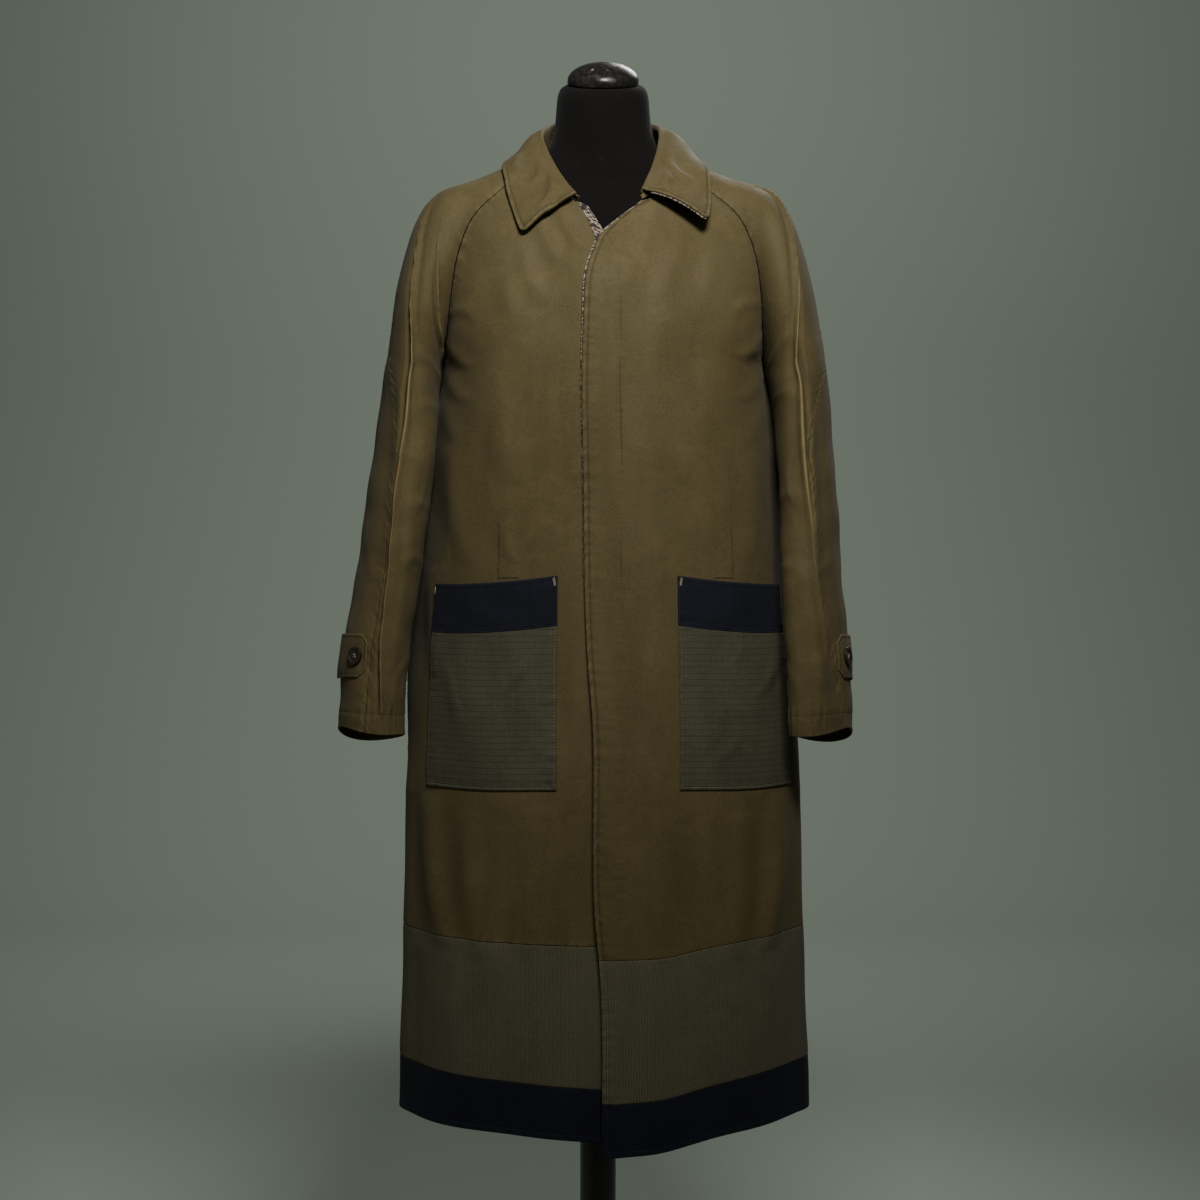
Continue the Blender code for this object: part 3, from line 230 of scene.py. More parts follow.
# Patch pockets, from the garment's centre front along the cloth
POCKET_NEAR = 0.0680
POCKET_WIDE = 0.1680
POCKET_TOP = 1.0470
POCKET_SLOPE = -0.050        # the mouth falls this much for each metre outwards
BAND_DEEP = 0.0560
POCKET_FOOT = 0.8095
WELT_NEAR, WELT_WIDE = 0.1130, 0.0270
WELT_TOP, WELT_SLOPE = 1.0960, 0.45

# Cuff tabs and buttons: rows of the sleeve, and how far round it from the outer seam
TAB_ROWS = (-3.82, -4.48)
TAB_ROUND = 0.42
TAB_FROM = 0.04              # turns from the seam to the tab's sewn end
BUTTON_AT = 0.24             # the button's place along the tab
TAB_LIFT = 0.0006            # of the tab above the sleeve
BUTTON_RADIUS, BUTTON_THICK = 0.0105, 0.0034
HOLE_RADIUS, HOLE_OUT = 0.0011, 0.0021

# The dress form: height, half width, depth in front and behind
FORM = np.array([
    (0.8000, 0.1600, 0.1000, 0.1080), (0.8060, 0.1660, 0.1060, 0.1140),
    (0.8800, 0.1720, 0.1120, 0.1180), (0.9800, 0.1580, 0.1080, 0.1020),
    (1.0800, 0.1450, 0.1020, 0.0900), (1.1800, 0.1500, 0.1080, 0.0940),
    (1.3000, 0.1620, 0.1200, 0.1000), (1.3800, 0.1660, 0.1160, 0.1040),
    (1.4300, 0.1720, 0.1040, 0.1020), (1.4650, 0.1780, 0.0880, 0.0930),
    (1.4850, 0.1840, 0.0740, 0.0840), (1.4980, 0.1800, 0.0640, 0.0760),
    (1.5060, 0.1680, 0.0600, 0.0720), (1.5160, 0.1440, 0.0580, 0.0700),
    (1.5260, 0.1160, 0.0565, 0.0670), (1.5360, 0.0880, 0.0555, 0.0640),
    (1.5470, 0.0700, 0.0550, 0.0620), (1.5620, 0.0620, 0.0550, 0.0600),
    (1.5850, 0.0568, 0.0550, 0.0575),
    (1.6100, 0.0556, 0.0545, 0.0560), (1.6230, 0.0540, 0.0530, 0.0540),
    (1.6300, 0.0500, 0.0490, 0.0500), (1.6325, 0.0440, 0.0430, 0.0440)])
CAP_RADIUS, CAP_HIGH, CAP_LIP = 0.0425, 0.0270, 0.0050
NECK_SLANT = math.tan(math.radians(20))     # the neck is cut lower in front than behind
POLE_RADIUS = 0.0212
BASE_RADIUS, BASE_THICK = 0.190, 0.016
FACING_FOOT, FACING_TURN = 1.046, 1.403      # lowest points of the two tweed strips
CUFF_ROW, SLEEVE_END = 5.07, 5.4   # rows of the cuff's stitching and of its edge
TWEED_ROLL = 0.0016          # tweed that rolls out beyond the leaf's edge


# ---- folds that the frame leaves to the fine cloth ----------------------------------------
# Soft ridges on the fronts, seen from in front: x and z of both ends, the bow sideways, the
# half width and the height
FRONT_FOLDS = {
    -1: np.array([
        (-0.052, 1.478, -0.020, 1.412, 0.006, 0.0065, 0.0019),
        (-0.072, 1.462, -0.040, 1.395, 0.008, 0.0080, 0.0017),
        (-0.090, 1.440, -0.062, 1.350, 0.010, 0.0100, 0.0019),
        (-0.112, 1.425, -0.098, 1.335, 0.006, 0.0110, 0.0015),
        (-0.178, 1.352, -0.142, 1.337, -0.006, 0.0060, 0.0015),
        (-0.180, 1.322, -0.148, 1.284, 0.006, 0.0070, 0.0017),
        (-0.182, 1.300, -0.155, 1.245, 0.008, 0.0080, 0.0016),
        (-0.184, 1.270, -0.163, 1.197, 0.008, 0.0090, 0.0014),
        (-0.172, 1.200, -0.155, 1.060, 0.006, 0.0120, 0.0030),
        (-0.120, 1.300, -0.105, 1.150, 0.008, 0.0160, 0.0018),
        (-0.060, 1.250, -0.075, 1.120, -0.006, 0.0150, 0.0014),
        (-0.108, 1.110, -0.100, 1.060, 0.004, 0.0080, 0.0016),
        (-0.195, 1.060, -0.188, 0.930, 0.004, 0.0100, 0.0030),
        (-0.196, 0.800, -0.180, 0.630, 0.006, 0.0120, 0.0072),
        (-0.150, 0.785, -0.140, 0.620, 0.006, 0.0140, 0.0036),
        (-0.112, 0.770, -0.150, 0.560, -0.006, 0.0120, 0.0030),
        (-0.080, 0.790, -0.086, 0.625, -0.004, 0.0150, 0.0028),
        (-0.030, 0.780, -0.035, 0.620, 0.004, 0.0120, 0.0024)]),
    1: np.array([
        (0.058, 1.470, 0.018, 1.385, -0.008, 0.0080, 0.0021),
        (0.040, 1.440, 0.008, 1.350, -0.006, 0.0070, 0.0015),
        (0.085, 1.455, 0.060, 1.360, -0.010, 0.0100, 0.0019),
        (0.116, 1.430, 0.100, 1.330, -0.008, 0.0120, 0.0016),
        (0.182, 1.362, 0.147, 1.342, 0.006, 0.0060, 0.0014),
        (0.184, 1.330, 0.153, 1.295, -0.006, 0.0070, 0.0016),
        (0.185, 1.300, 0.158, 1.248, -0.008, 0.0080, 0.0017),
        (0.186, 1.272, 0.165, 1.201, -0.008, 0.0090, 0.0014),
        (0.172, 1.190, 0.160, 1.060, -0.006, 0.0120, 0.0028),
        (0.112, 1.290, 0.095, 1.150, -0.008, 0.0160, 0.0018),
        (0.055, 1.260, 0.062, 1.100, 0.006, 0.0150, 0.0014),
        (0.010, 1.230, 0.014, 1.080, 0.003, 0.0100, 0.0012),
        (0.195, 1.050, 0.190, 0.930, -0.004, 0.0100, 0.0026),
        (0.196, 0.800, 0.186, 0.625, -0.006, 0.0110, 0.0068),
        (0.150, 0.785, 0.152, 0.620, -0.006, 0.0140, 0.0036),
        (0.112, 0.780, 0.150, 0.560, 0.006, 0.0120, 0.0030),
        (0.060, 0.790, 0.064, 0.620, 0.004, 0.0150, 0.0028)])}
BACK_FOLDS = np.array([
    (-0.165, 1.350, -0.120, 1.240, 0.010, 0.0110, 0.0030),
    (0.165, 1.350, 0.120, 1.240, -0.010, 0.0110, 0.0030),
    (-0.175, 1.300, -0.145, 1.150, 0.010, 0.0120, 0.0034),
    (0.175, 1.300, 0.145, 1.150, -0.010, 0.0120, 0.0034),
    (-0.060, 1.520, -0.090, 1.400, 0.010, 0.0130, 0.0020),
    (0.060, 1.520, 0.090, 1.400, -0.010, 0.0130, 0.0020),
    (-0.070, 1.200, -0.085, 0.900, 0.010, 0.0220, 0.0030),
    (0.060, 1.220, 0.080, 0.880, -0.010, 0.0220, 0.0030),
    (0.000, 1.150, 0.004, 0.800, 0.004, 0.0200, 0.0020),
    (-0.170, 1.000, -0.180, 0.720, 0.004, 0.0180, 0.0034),
    (0.170, 1.000, 0.180, 0.720, 0.004, 0.0180, 0.0034)])

# Ridges on the sleeves: rows down the sleeve and turns round it, with a half width and a
# height in metres
SLEEVE_FOLDS = {
    -1: np.array([
        (0.16, 0.02, 0.03, 0.17, 0.01, 0.0050, 0.0110),
        (0.03, 0.01, -0.06, 0.15, 0.01, 0.0050, 0.0090),
        (-0.20, 0.08, -1.10, 0.44, 0.06, 0.0065, 0.0034),
        (-0.70, 0.06, -1.70, 0.40, 0.05, 0.0070, 0.0030),
        (-1.30, 0.62, -2.20, 0.40, -0.04, 0.0080, 0.0026),
        (-2.00, 0.10, -2.70, 0.45, 0.04, 0.0070, 0.0030),
        (-2.40, 0.85, -2.90, 0.45, 0.03, 0.0065, 0.0028),
        (-2.80, 0.10, -3.30, 0.50, 0.03, 0.0065, 0.0026),
        (-3.40, 0.70, -4.40, 0.40, 0.02, 0.0080, 0.0024),
        (-4.10, 0.10, -5.00, 0.30, 0.02, 0.0070, 0.0022),
        (-0.30, 1.92, -1.30, 1.50, 0.05, 0.0080, 0.0036),
        (-1.20, 1.85, -2.20, 1.35, 0.05, 0.0090, 0.0034),
        (-2.10, 1.75, -2.90, 1.25, 0.04, 0.0080, 0.0034),
        (-2.80, 1.65, -3.60, 1.20, 0.04, 0.0080, 0.0030)]),
    1: np.array([
        (-0.10, 0.08, -0.95, 0.46, 0.06, 0.0065, 0.0034),
        (-0.60, 0.06, -1.50, 0.42, 0.05, 0.0070, 0.0028),
        (-1.20, 0.66, -2.10, 0.44, -0.04, 0.0080, 0.0026),
        (-1.90, 0.10, -2.60, 0.48, 0.04, 0.0070, 0.0030),
        (-2.30, 0.85, -2.85, 0.50, 0.03, 0.0065, 0.0028),
        (-2.90, 0.12, -3.50, 0.55, 0.03, 0.0065, 0.0024),
        (-3.50, 0.70, -4.30, 0.45, 0.02, 0.0080, 0.0024),
        (-4.20, 0.10, -5.00, 0.35, 0.02, 0.0070, 0.0020),
        (-0.30, 1.92, -1.30, 1.50, 0.05, 0.0080, 0.0036),
        (-1.20, 1.85, -2.20, 1.35, 0.05, 0.0090, 0.0034),
        (-2.10, 1.75, -2.90, 1.25, 0.04, 0.0080, 0.0034),
        (-2.80, 1.65, -3.60, 1.20, 0.04, 0.0080, 0.0030)])}
TURN_METRES, ROW_METRES = 0.180, 0.083   # one turn and one row of a sleeve on its cloth

# Long creases down the sleeves by row, turn and height, each a ridge with a hollow on its
# outer side
CREASES = {
    -1: (np.array([
            (0.72, 0.70, 0.0000), (0.55, 0.60, 0.0022), (0.35, 0.54, 0.0040), (0.10, 0.50, 0.0048),
            (-0.50, 0.49, 0.0052), (-1.50, 0.505, 0.0052), (-2.50, 0.520, 0.0052),
            (-3.50, 0.510, 0.0048), (-4.30, 0.48, 0.0040), (-5.10, 0.46, 0.0016)]),
         np.array([
            (0.50, 0.30, 0.0000), (0.35, 0.22, 0.0024), (0.15, 0.13, 0.0030),
            (-0.05, 0.10, 0.0000)])),
    1: (np.array([
            (0.78, 0.76, 0.0000), (0.60, 0.66, 0.0030), (0.42, 0.57, 0.0042), (0.20, 0.51, 0.0048),
            (0.00, 0.48, 0.0050), (-0.50, 0.47, 0.0050), (-1.00, 0.465, 0.0048), (-1.60, 0.475, 0.0044),
            (-2.50, 0.520, 0.0038), (-3.50, 0.59, 0.0028), (-4.60, 0.68, 0.0000)]),)}
CREASE_WIDTH = 0.0032

# How far the sleeves' inner front stands out over the body, by row
INNER_FILL = {
    -1: np.array([(-5.40, -0.0020), (-4.00, 0.0005), (-3.00, 0.0020), (-2.00, 0.0065), (-1.20, 0.0095),
                  (-0.80, 0.0080), (-0.30, 0.0050), (0.10, 0.0000), (1.00, 0.0000)]),
    1: np.array([(-5.40, 0.0100), (-4.00, 0.0110), (-3.00, 0.0105), (-2.00, 0.0095), (-1.00, 0.0085),
                 (-0.40, 0.0060), (0.10, 0.0000), (1.00, 0.0000)])}

# How far the body stands out beside its side seams, behind the sleeves: height, wearer's
# right, wearer's left
SIDE_FILL = np.array([
    (0.820, 0.0000, 0.0000), (0.860, 0.0030, 0.0010), (0.900, 0.0080, 0.0020), (0.940, 0.0130, 0.0030),
    (0.975, 0.0165, 0.0040), (1.000, 0.0180, 0.0050), (1.050, 0.0175, 0.0070), (1.100, 0.0170, 0.0110),
    (1.150, 0.0150, 0.0160), (1.200, 0.0155, 0.0195), (1.240, 0.0150, 0.0190), (1.262, 0.0095, 0.0120),
    (1.300, 0.0000, 0.0000)])

# Wrinkles of the collar's leaves: part from the back to the corner, share down the leaf
COLLAR_FOLDS = {
    -1: np.array([
        (0.70, 0.15, 0.80, 0.85, 0.02, 0.0050, 0.0012),
        (0.80, 0.10, 0.93, 0.75, 0.02, 0.0050, 0.0016),
        (0.90, 0.25, 0.98, 0.80, 0.01, 0.0060, 0.0012),
        (0.60, 0.40, 0.78, 0.60, -0.01, 0.0070, 0.0010)]),
    1: np.array([
        (0.68, 0.20, 0.82, 0.70, 0.02, 0.0060, 0.0012),
        (0.84, 0.15, 0.94, 0.55, 0.02, 0.0060, 0.0010)])}


def ridges(rows, across, down, metres=(1, 1)):
    """Sum of the ridges of a table at these places; metres scale the table's two columns."""
    total = np.zeros(np.shape(across))
    for from_a, from_d, to_a, to_d, bow, half_width, height in rows:
        way = np.array([(to_a - from_a) * metres[0], (to_d - from_d) * metres[1]])
        length = np.hypot(*way)
        way = way / length
        side_a, side_d = (across - from_a) * metres[0], (down - from_d) * metres[1]
        along = (side_a * way[0] + side_d * way[1]) / length
        off = side_a * way[1] - side_d * way[0]
        inside = np.clip(along, 0, 1)
        off = off - 4 * bow * inside * (1 - inside)
        past = np.abs(along - inside) * length
        taper = np.clip(4 * inside * (1 - inside), 0, 1) ** 0.6 * np.exp(-(past / half_width) ** 2)
        total += height * taper * (bump(off, 0, half_width)
                                   - 0.45 * bump(off, 1.9 * half_width, 1.3 * half_width)
                                   - 0.30 * bump(off, -2.0 * half_width, 1.3 * half_width))
    return total


def crease_places(paths, row, turn):
    """Each long crease's distance from these places of a sleeve, and its height there."""
    for path in paths:
        path = path[::-1]
        at = spline(path[:, 0], path[:, 1:], row)
        height = np.where((row > path[0, 0]) & (row < path[-1, 0]), np.maximum(at[..., 1], 0), 0)
        yield (turn - at[..., 0]) * TURN_METRES, height


def crease_field(paths, row, turn):
    """The nearest crease's distance, the run along it and how sharp it is, from which the finish paints a
    highlight on the ridge and shade in its hollow.
    """
    found = list(crease_places(paths, row, turn))
    offs, heights = np.stack([each[0] for each in found]), np.stack([each[1] for each in found])
    nearest = np.where(heights > 0, np.abs(offs), 1.0).argmin(axis=0)[None]
    off, height = np.take_along_axis(offs, nearest, 0)[0], np.take_along_axis(heights, nearest, 0)[0]
    return np.stack([off, row * ROW_METRES, height / 0.004], -1)


def creases(paths, row, turn):
    """Sum of the long creases at these places of a sleeve."""
    total = np.zeros(np.shape(row))
    for off, height in crease_places(paths, row, turn):
        total += height * (bump(off, 0, CREASE_WIDTH)
                           - 0.85 * bump(off, 2.1 * CREASE_WIDTH, 1.5 * CREASE_WIDTH)
                           - 0.25 * bump(off, -3.0 * CREASE_WIDTH, 2.5 * CREASE_WIDTH))
    return total


def ripple(run, seed, wavelength):
    """Uneven waves along a seam, between -1 and 1."""
    turn = 2 * math.pi * run / wavelength
    drift = 1.7 * np.sin(turn * 0.213 + seed) + 1.1 * np.sin(turn * 0.127 + 2.3 * seed)
    swell = 0.72 + 0.28 * np.sin(turn * 0.171 + 4.1 * seed)
    return swell * np.sin(turn + drift + seed)


# ---- shared curves ------------------------------------------------------------------------
def spline(knots, values, at):
    """Smooth curve through the rows of values at the knots."""
    values = np.asarray(values, float)
    at = np.clip(np.asarray(at, float), knots[0], knots[-1])
    slopes = np.gradient(values, knots, axis=0)
    row = np.clip(np.searchsorted(knots, at, side="right") - 1, 0, len(knots) - 2)
    step = knots[row + 1] - knots[row]
    part = (at - knots[row]) / step
    for _ in range(values.ndim - 1):
        step, part = step[..., None], part[..., None]
    rest = 1 - part
    return ((1 + 2 * part) * rest ** 2 * values[row] + part * rest ** 2 * step * slopes[row]
            + part ** 2 * (3 - 2 * part) * values[row + 1] - part ** 2 * rest * step * slopes[row + 1])


def table(rows, at):
    """All columns of a table after its first, read smoothly at values of its first."""
    if rows[0, 0] > rows[-1, 0]:
        rows = rows[::-1]
    return spline(rows[:, 0], rows[:, 1:], at)


def blend(low, high, at):
    part = np.clip((np.asarray(at, float) - low) / (high - low), 0, 1)
    return part * part * (3 - 2 * part)


def bump(at, middle, width):
    return np.exp(-((at - middle) / width) ** 2)


def unit(vectors):
    return vectors / np.maximum(np.linalg.norm(vectors, axis=-1, keepdims=True), 1e-12)


def bezier(ends, part):
    """Cubic curve: ends is four arrays of points, part runs from 0 to 1."""
    rest = 1 - part
    weights = (rest ** 3, 3 * part * rest ** 2, 3 * part ** 2 * rest, part ** 3)
    return sum(weight[..., None] * end for weight, end in zip(weights, ends))


# ---- the body tube ------------------------------------------------------------------------
def quarter_angle(part):
    """Angle on a quarter of the body's section after this part of its length."""
    angle = np.linspace(0, math.pi / 2, 400)
    x = 1.15 * np.sin(angle) ** (2 / ROUNDNESS)
    y = 0.90 * np.cos(angle) ** (2 / ROUNDNESS)
    length = np.concatenate([[0], np.cumsum(np.hypot(np.diff(x), np.diff(y)))])
    return np.interp(part, length / length[-1], angle)


def body_point(around, height):
    """The coat's outside below the arms. around is 0 at the front, 1 at the side, 2 behind."""
    half_width, front, back = np.moveaxis(table(BODY, height), -1, 0)
    turn = np.abs(around)
    angle = quarter_angle(np.where(turn <= 1, turn, 2 - turn))
    x = np.sign(around) * half_width * np.sin(angle) ** (2 / ROUNDNESS)
    depth = np.where(turn <= 1, -front, back)
    y = depth * np.cos(angle) ** (2 / ROUNDNESS)
    return np.stack([x, y, height], -1)


def around_at(across, height):
    """Where the front of the body tube lies this far across."""
    turns = np.linspace(0, 1, 200)
    half_width = table(BODY, height)[..., 0]
    ratio = np.abs(across) / half_width
    widths = np.sin(quarter_angle(turns)) ** (2 / ROUNDNESS)
    return np.sign(across) * np.interp(ratio, widths, turns)


def hang(around, height):
    """How far the cloth stands out in the long soft folds of the skirt."""
    low = blend(1.05, 0.50, height)
    turn = np.abs(around)
    folds = (bump(turn, 0.80, 0.07) * 0.006 - bump(turn, 0.93, 0.05) * 0.005
             + bump(turn, 1.25, 0.10) * 0.007 - bump(turn, 1.50, 0.10) * 0.006
             + bump(turn, 1.80, 0.12) * 0.006)
    return low * folds


def body_wall(around, height):
    """Outside points of the draped body tube, and their normals."""
    step = 0.004

    def draped(turn, level):
        point = body_point(turn, level)
        out = unit(point * np.array([1, 1.3, 0]))
        return point + out * hang(turn, level)[..., None]

    point = draped(around, height)
    along = draped(around + step, height) - draped(around - step, height)
    up = draped(around, height + step) - draped(around, height - step)
    return point, unit(np.cross(along, up))


def seam_height(which, around, side=0):
    """Height of a cross seam or the hem: which is a column of SEAMS."""
    turn = np.abs(around)
    values = table(SEAMS, turn)
    sag = values[..., 3] if side > 0 else 0
    return values[..., which] - sag


# ---- the upper body and the arms ----------------------------------------------------------
def seam_point(rows, row, side):
    """A raglan seam's points and the cloth's way across it."""
    values = table(rows, row)
    point = values[..., 2:5].copy()
    point[..., 0] -= SEAM_IN[side] * np.sin(math.pi * np.clip(row, 0, 1)) ** 2
    way = unit(values[..., 5:8])
    flip = np.array([side, 1, 1])
    return point * flip, way * flip


def upper_row(rows, row, start, side, around):
    """Rows of the upper front or back from a start point to the raglan seam."""
    end, way = seam_point(rows, row, side)
    chord = np.linalg.norm(end - start, axis=-1, keepdims=True)
    lead = np.array([side, 0, 0]) * np.ones_like(start)
    lead = lead + blend(0.55, 1.0, row)[..., None] * np.array([0, 0.25, 0.45])
    near = chord * (0.50 - 0.10 * row[..., None])
    far = chord * spline(REACH[:, 0], REACH[:, 1], row)[..., None]
    return bezier((start, start + unit(lead) * near, end - way * far, end), around)


def upper_grid(rows, row, part, side, start, first):
    """Points of an upper panel. first is its lowest row, which it leaves smoothly."""
    row_grid, part_grid = np.meshgrid(row, part, indexing="ij")
    starts = np.repeat(start[:, None], len(part), axis=1)
    points = upper_row(rows, row_grid, starts, side, part_grid)
    fade = (1 - blend(0, 0.6, row_grid))[..., None]
    return points + fade * (first - points[0])[None]


def arm_ring(row, turn, side):
    """A sleeve's outside. row runs from 1 at the neck to 0 at the underarm, and on down to
    minus 5.4 at the cuff; turn is 0 at the front or inner seam, 1 outside and 2 at the back."""
    flip = np.array([side, 1, 1])
    high = np.clip(row, 0, 1)
    low = np.clip(-row, 0, SLEEVE_END)
    front_seam = seam_point(CHEST, high, side)[0]
    back_seam = seam_point(SHOULDER, high, side)[0]
    top = table(OUTSIDE[side], high)
    hung = table(SLEEVE[side], low)
    lower = (row < 0)[..., None]
    inner = hung[..., 0:3] * flip
    outer = np.where(lower, hung[..., 3:6], top[..., 0:3]) * flip
    swing, pitch = hung[..., 8], hung[..., 9]
    long_way = unit(np.stack([-swing * side, -np.ones_like(swing), pitch], -1))
    forward = long_way * hung[..., 6:7]
    backward = -long_way * hung[..., 7:8]
    rise = top[..., 3:6] * flip
    rise_back = rise * np.array([1, -120 / 140, 1])
    front = np.where(lower, inner, front_seam)
    back = np.where(lower, inner, back_seam)
    crest = top[..., 6:7] * np.array([0, 1, 0])
    first = OUTSIDE[side][0]
    settled = (1 - blend(0, 0.25, high))[..., None]

    def meet(upper, at_underarm, below):
        return np.where(lower, below, upper + settled * (below - at_underarm))

    front_lead = meet(rise, first[4:7] * flip, forward)
    back_lead = meet(rise_back, first[4:7] * flip * np.array([1, -120 / 140, 1]), backward)
    front_top = meet(-crest * 1.15, np.array([0, -1.15 * first[7], 0]), forward)
    back_top = meet(crest, np.array([0, first[7], 0]), backward)
    ahead = bezier((front, front + front_lead, outer + front_top, outer), np.clip(turn, 0, 1))
    behind = bezier((back, back + back_lead, outer + back_top, outer), np.clip(2 - turn, 0, 1))
    return np.where((turn <= 1)[..., None], ahead, behind)


def arm_fold(row, turn, side):
    """Ridges and troughs of the hanging sleeve."""
    low = np.clip(-row, 0, SLEEVE_END)
    run = blend(0.1, 1.5, low) * (1 - blend(4.2, 5.2, low))
    ridge = 0.50 - 0.02 * low if side < 0 else 0.42 + 0.03 * low
    return run * (0.0050 * bump(turn, ridge, 0.10) - 0.0040 * bump(turn, ridge + 0.22, 0.10))


def arm_wall(row, turn, side):
    """Outside points of the draped sleeve and their normals, worked out from its own rings."""
    step = 0.01

    def normals(surface):
        along = surface(row, np.minimum(turn + step, 2)) - surface(row, np.maximum(turn - step, 0))
        up = surface(np.minimum(row + step, 1), turn) - surface(np.maximum(row - step, -SLEEVE_END), turn)
        return unit(np.cross(along, up)) * side

    def plain(rows, turns):
        reach = 0.24 * bump(rows, 0, 0.26)
        return sum(share * arm_ring(rows + part * reach, turns, side) for part, share in
                   ((-1, 0.14), (-0.5, 0.22), (0, 0.28), (0.5, 0.22), (1, 0.14)))

    out = normals(plain)

    def folded(rows, turns):
        return plain(rows, turns) + out * arm_fold(rows, turns, side)[..., None]

    return folded(row, turn), normals(folded)


def seam_turn(row, side):
    """Where the outer-arm seam lies round the sleeve."""
    low = np.clip(-row, 0, SLEEVE_END)
    value = table(SLEEVE[side], low)[..., 10]
    return value + (1 - value) * blend(0.0, 0.35, row)


def grid_normals(points, side=1):
    rows = np.gradient(points, axis=0)
    columns = np.gradient(points, axis=1)
    return unit(np.cross(columns, rows)) * side


def inset_edges(points, amount):
    """Draw a grid in from its neighbours by this much along the cloth."""
    points = points.copy()
    for _ in range(2):
        points[0] += unit(points[1] - points[0]) * amount
        points[-1] += unit(points[-2] - points[-1]) * amount
        points = points.transpose(1, 0, 2)
    return points


# ---- finishes -----------------------------------------------------------------------------
def add_node(tree, kind, inputs=None, **settings):
    """A node with its settings; inputs maps socket names or numbers to values or sockets."""
    made = tree.nodes.new(kind)
    for key, value in settings.items():
        setattr(made, key, value)
    for key, value in (inputs or {}).items():
        socket = made.inputs[key]
        if isinstance(value, bpy.types.NodeSocket):
            tree.links.new(value, socket)
        else:
            socket.default_value = value
    return made


def calc(tree, operation, first, second=0.0, third=0.0, clamp=False):
    made = add_node(tree, "ShaderNodeMath", {0: first, 1: second, 2: third}, operation=operation,
                    use_clamp=clamp)
    return made.outputs[0]


def ramp_between(tree, value, low, high, start=0.0, end=1.0):
    """Smooth step of a value between two limits."""
    made = add_node(tree, "ShaderNodeMapRange", {"Value": value, "From Min": low, "From Max": high,
                                                 "To Min": start, "To Max": end},
                    interpolation_type="SMOOTHSTEP")
    return made.outputs["Result"]


def noise(tree, place, scale, detail, **more):
    """Noise at a place; more gives its other inputs by name."""
    inputs = {"Vector": place, "Scale": scale, "Detail": detail, **more}
    return add_node(tree, "ShaderNodeTexNoise", inputs).outputs["Fac"]


def mix(tree, amount, first, second):
    made = add_node(tree, "ShaderNodeMix", data_type="RGBA")
    for key, value in (("Factor_Float", amount), ("A_Color", first), ("B_Color", second)):
        socket = next(each for each in made.inputs if each.identifier == key)
        if isinstance(value, bpy.types.NodeSocket):
            tree.links.new(value, socket)
        else:
            socket.default_value = value if key == "Factor_Float" else (*value[:3], 1.0)
    return next(each for each in made.outputs if each.identifier == "Result_Color")


def shader_group(name, inputs, outputs, build):
    """A node group made once: inputs and outputs map names to socket kinds and defaults."""
    group = bpy.data.node_groups.get(name)
    if group:
        return group
    group = bpy.data.node_groups.new(name, "ShaderNodeTree")
    for title, (kind, value) in inputs.items():
        socket = group.interface.new_socket(name=title, in_out="INPUT", socket_type=kind)
        if value is not None:
            socket.default_value = value
    for title in outputs:
        group.interface.new_socket(name=title, in_out="OUTPUT", socket_type="NodeSocketFloat")
    source = group.nodes.new("NodeGroupInput")
    sink = group.nodes.new("NodeGroupOutput")
    for title, socket in build(group, source.outputs).items():
        group.links.new(socket, sink.inputs[title])
    return group


VECTOR, FLOAT = "NodeSocketVector", "NodeSocketFloat"


def sewn_seam():
    """Topstitching beside an edge, the ditch of its seam, and where the edge is rubbed; the finish paints
    shade in the ditch and in the groove the stitching pulls in, and the rubbed edge is partly wear, partly
    painted highlight.
    """
    def build(tree, given):
        field = add_node(tree, "ShaderNodeSeparateXYZ", {0: given["Field"]})
        off, run, strength = field.outputs[0], field.outputs[1], field.outputs[2]
        beside = calc(tree, "ABSOLUTE", calc(tree, "SUBTRACT", off, given["Inset"]))
        line = ramp_between(tree, beside, 0.00035, 0.00085, 1.0, 0.0)
        along = calc(tree, "FRACT", calc(tree, "DIVIDE", run, given["Stitch"]))
        ends = calc(tree, "ABSOLUTE", calc(tree, "SUBTRACT", along, 0.5))
        dash = ramp_between(tree, ends, 0.34, 0.46, 1.0, 0.0)
        thread = calc(tree, "MULTIPLY", calc(tree, "MULTIPLY", line, dash), strength)
        noise = add_node(tree, "ShaderNodeTexNoise", {"W": calc(tree, "MULTIPLY", run, 95.0),
                                                      "Scale": 1.0, "Detail": 2.0},
                         noise_dimensions="1D")
        swell = calc(tree, "SUBTRACT", noise.outputs["Fac"], 0.5)
        near = ramp_between(tree, off, 0.0, 0.018, 1.0, 0.0)
        pulled = ramp_between(tree, beside, 0.0, 0.0022, 1.0, 0.0)
        height = calc(tree, "MULTIPLY", calc(tree, "MULTIPLY", swell, near), 1.5)
        height = calc(tree, "SUBTRACT", height,
                      calc(tree, "MULTIPLY", calc(tree, "MULTIPLY", pulled, strength), 0.45))
        height = calc(tree, "ADD", height, calc(tree, "MULTIPLY", thread, 0.35))
        # The seam's ditch: sunk in the bump, and darkened in the finish as painted shade.
        ditch = ramp_between(tree, off, 0.0, 0.0009, 1.0, 0.0)
        height = calc(tree, "SUBTRACT", height, calc(tree, "MULTIPLY", ditch, 0.5))
        # Lighter beside the edge, broken by noise: partly rubbed wear, partly painted highlight.
        rubbed = calc(tree, "MULTIPLY", ramp_between(tree, off, 0.0006, 0.0075, 1.0, 0.0),
                      ramp_between(tree, noise.outputs["Fac"], 0.38, 0.68))
        # Painted shade in the groove that the topstitching pulls in, left off the thread itself.
        groove_shade = calc(tree, "MULTIPLY", calc(tree, "SUBTRACT", pulled, thread), strength, clamp=True)
        return {"Thread": thread, "Height": height, "Rubbed": rubbed, "Ditch": ditch, "Pulled": groove_shade}

    return shader_group("Sewn seam", {"Field": (VECTOR, None), "Inset": (FLOAT, 0.006),
                                      "Stitch": (FLOAT, 0.0034)},
                        ["Thread", "Height", "Rubbed", "Ditch", "Pulled"], build)


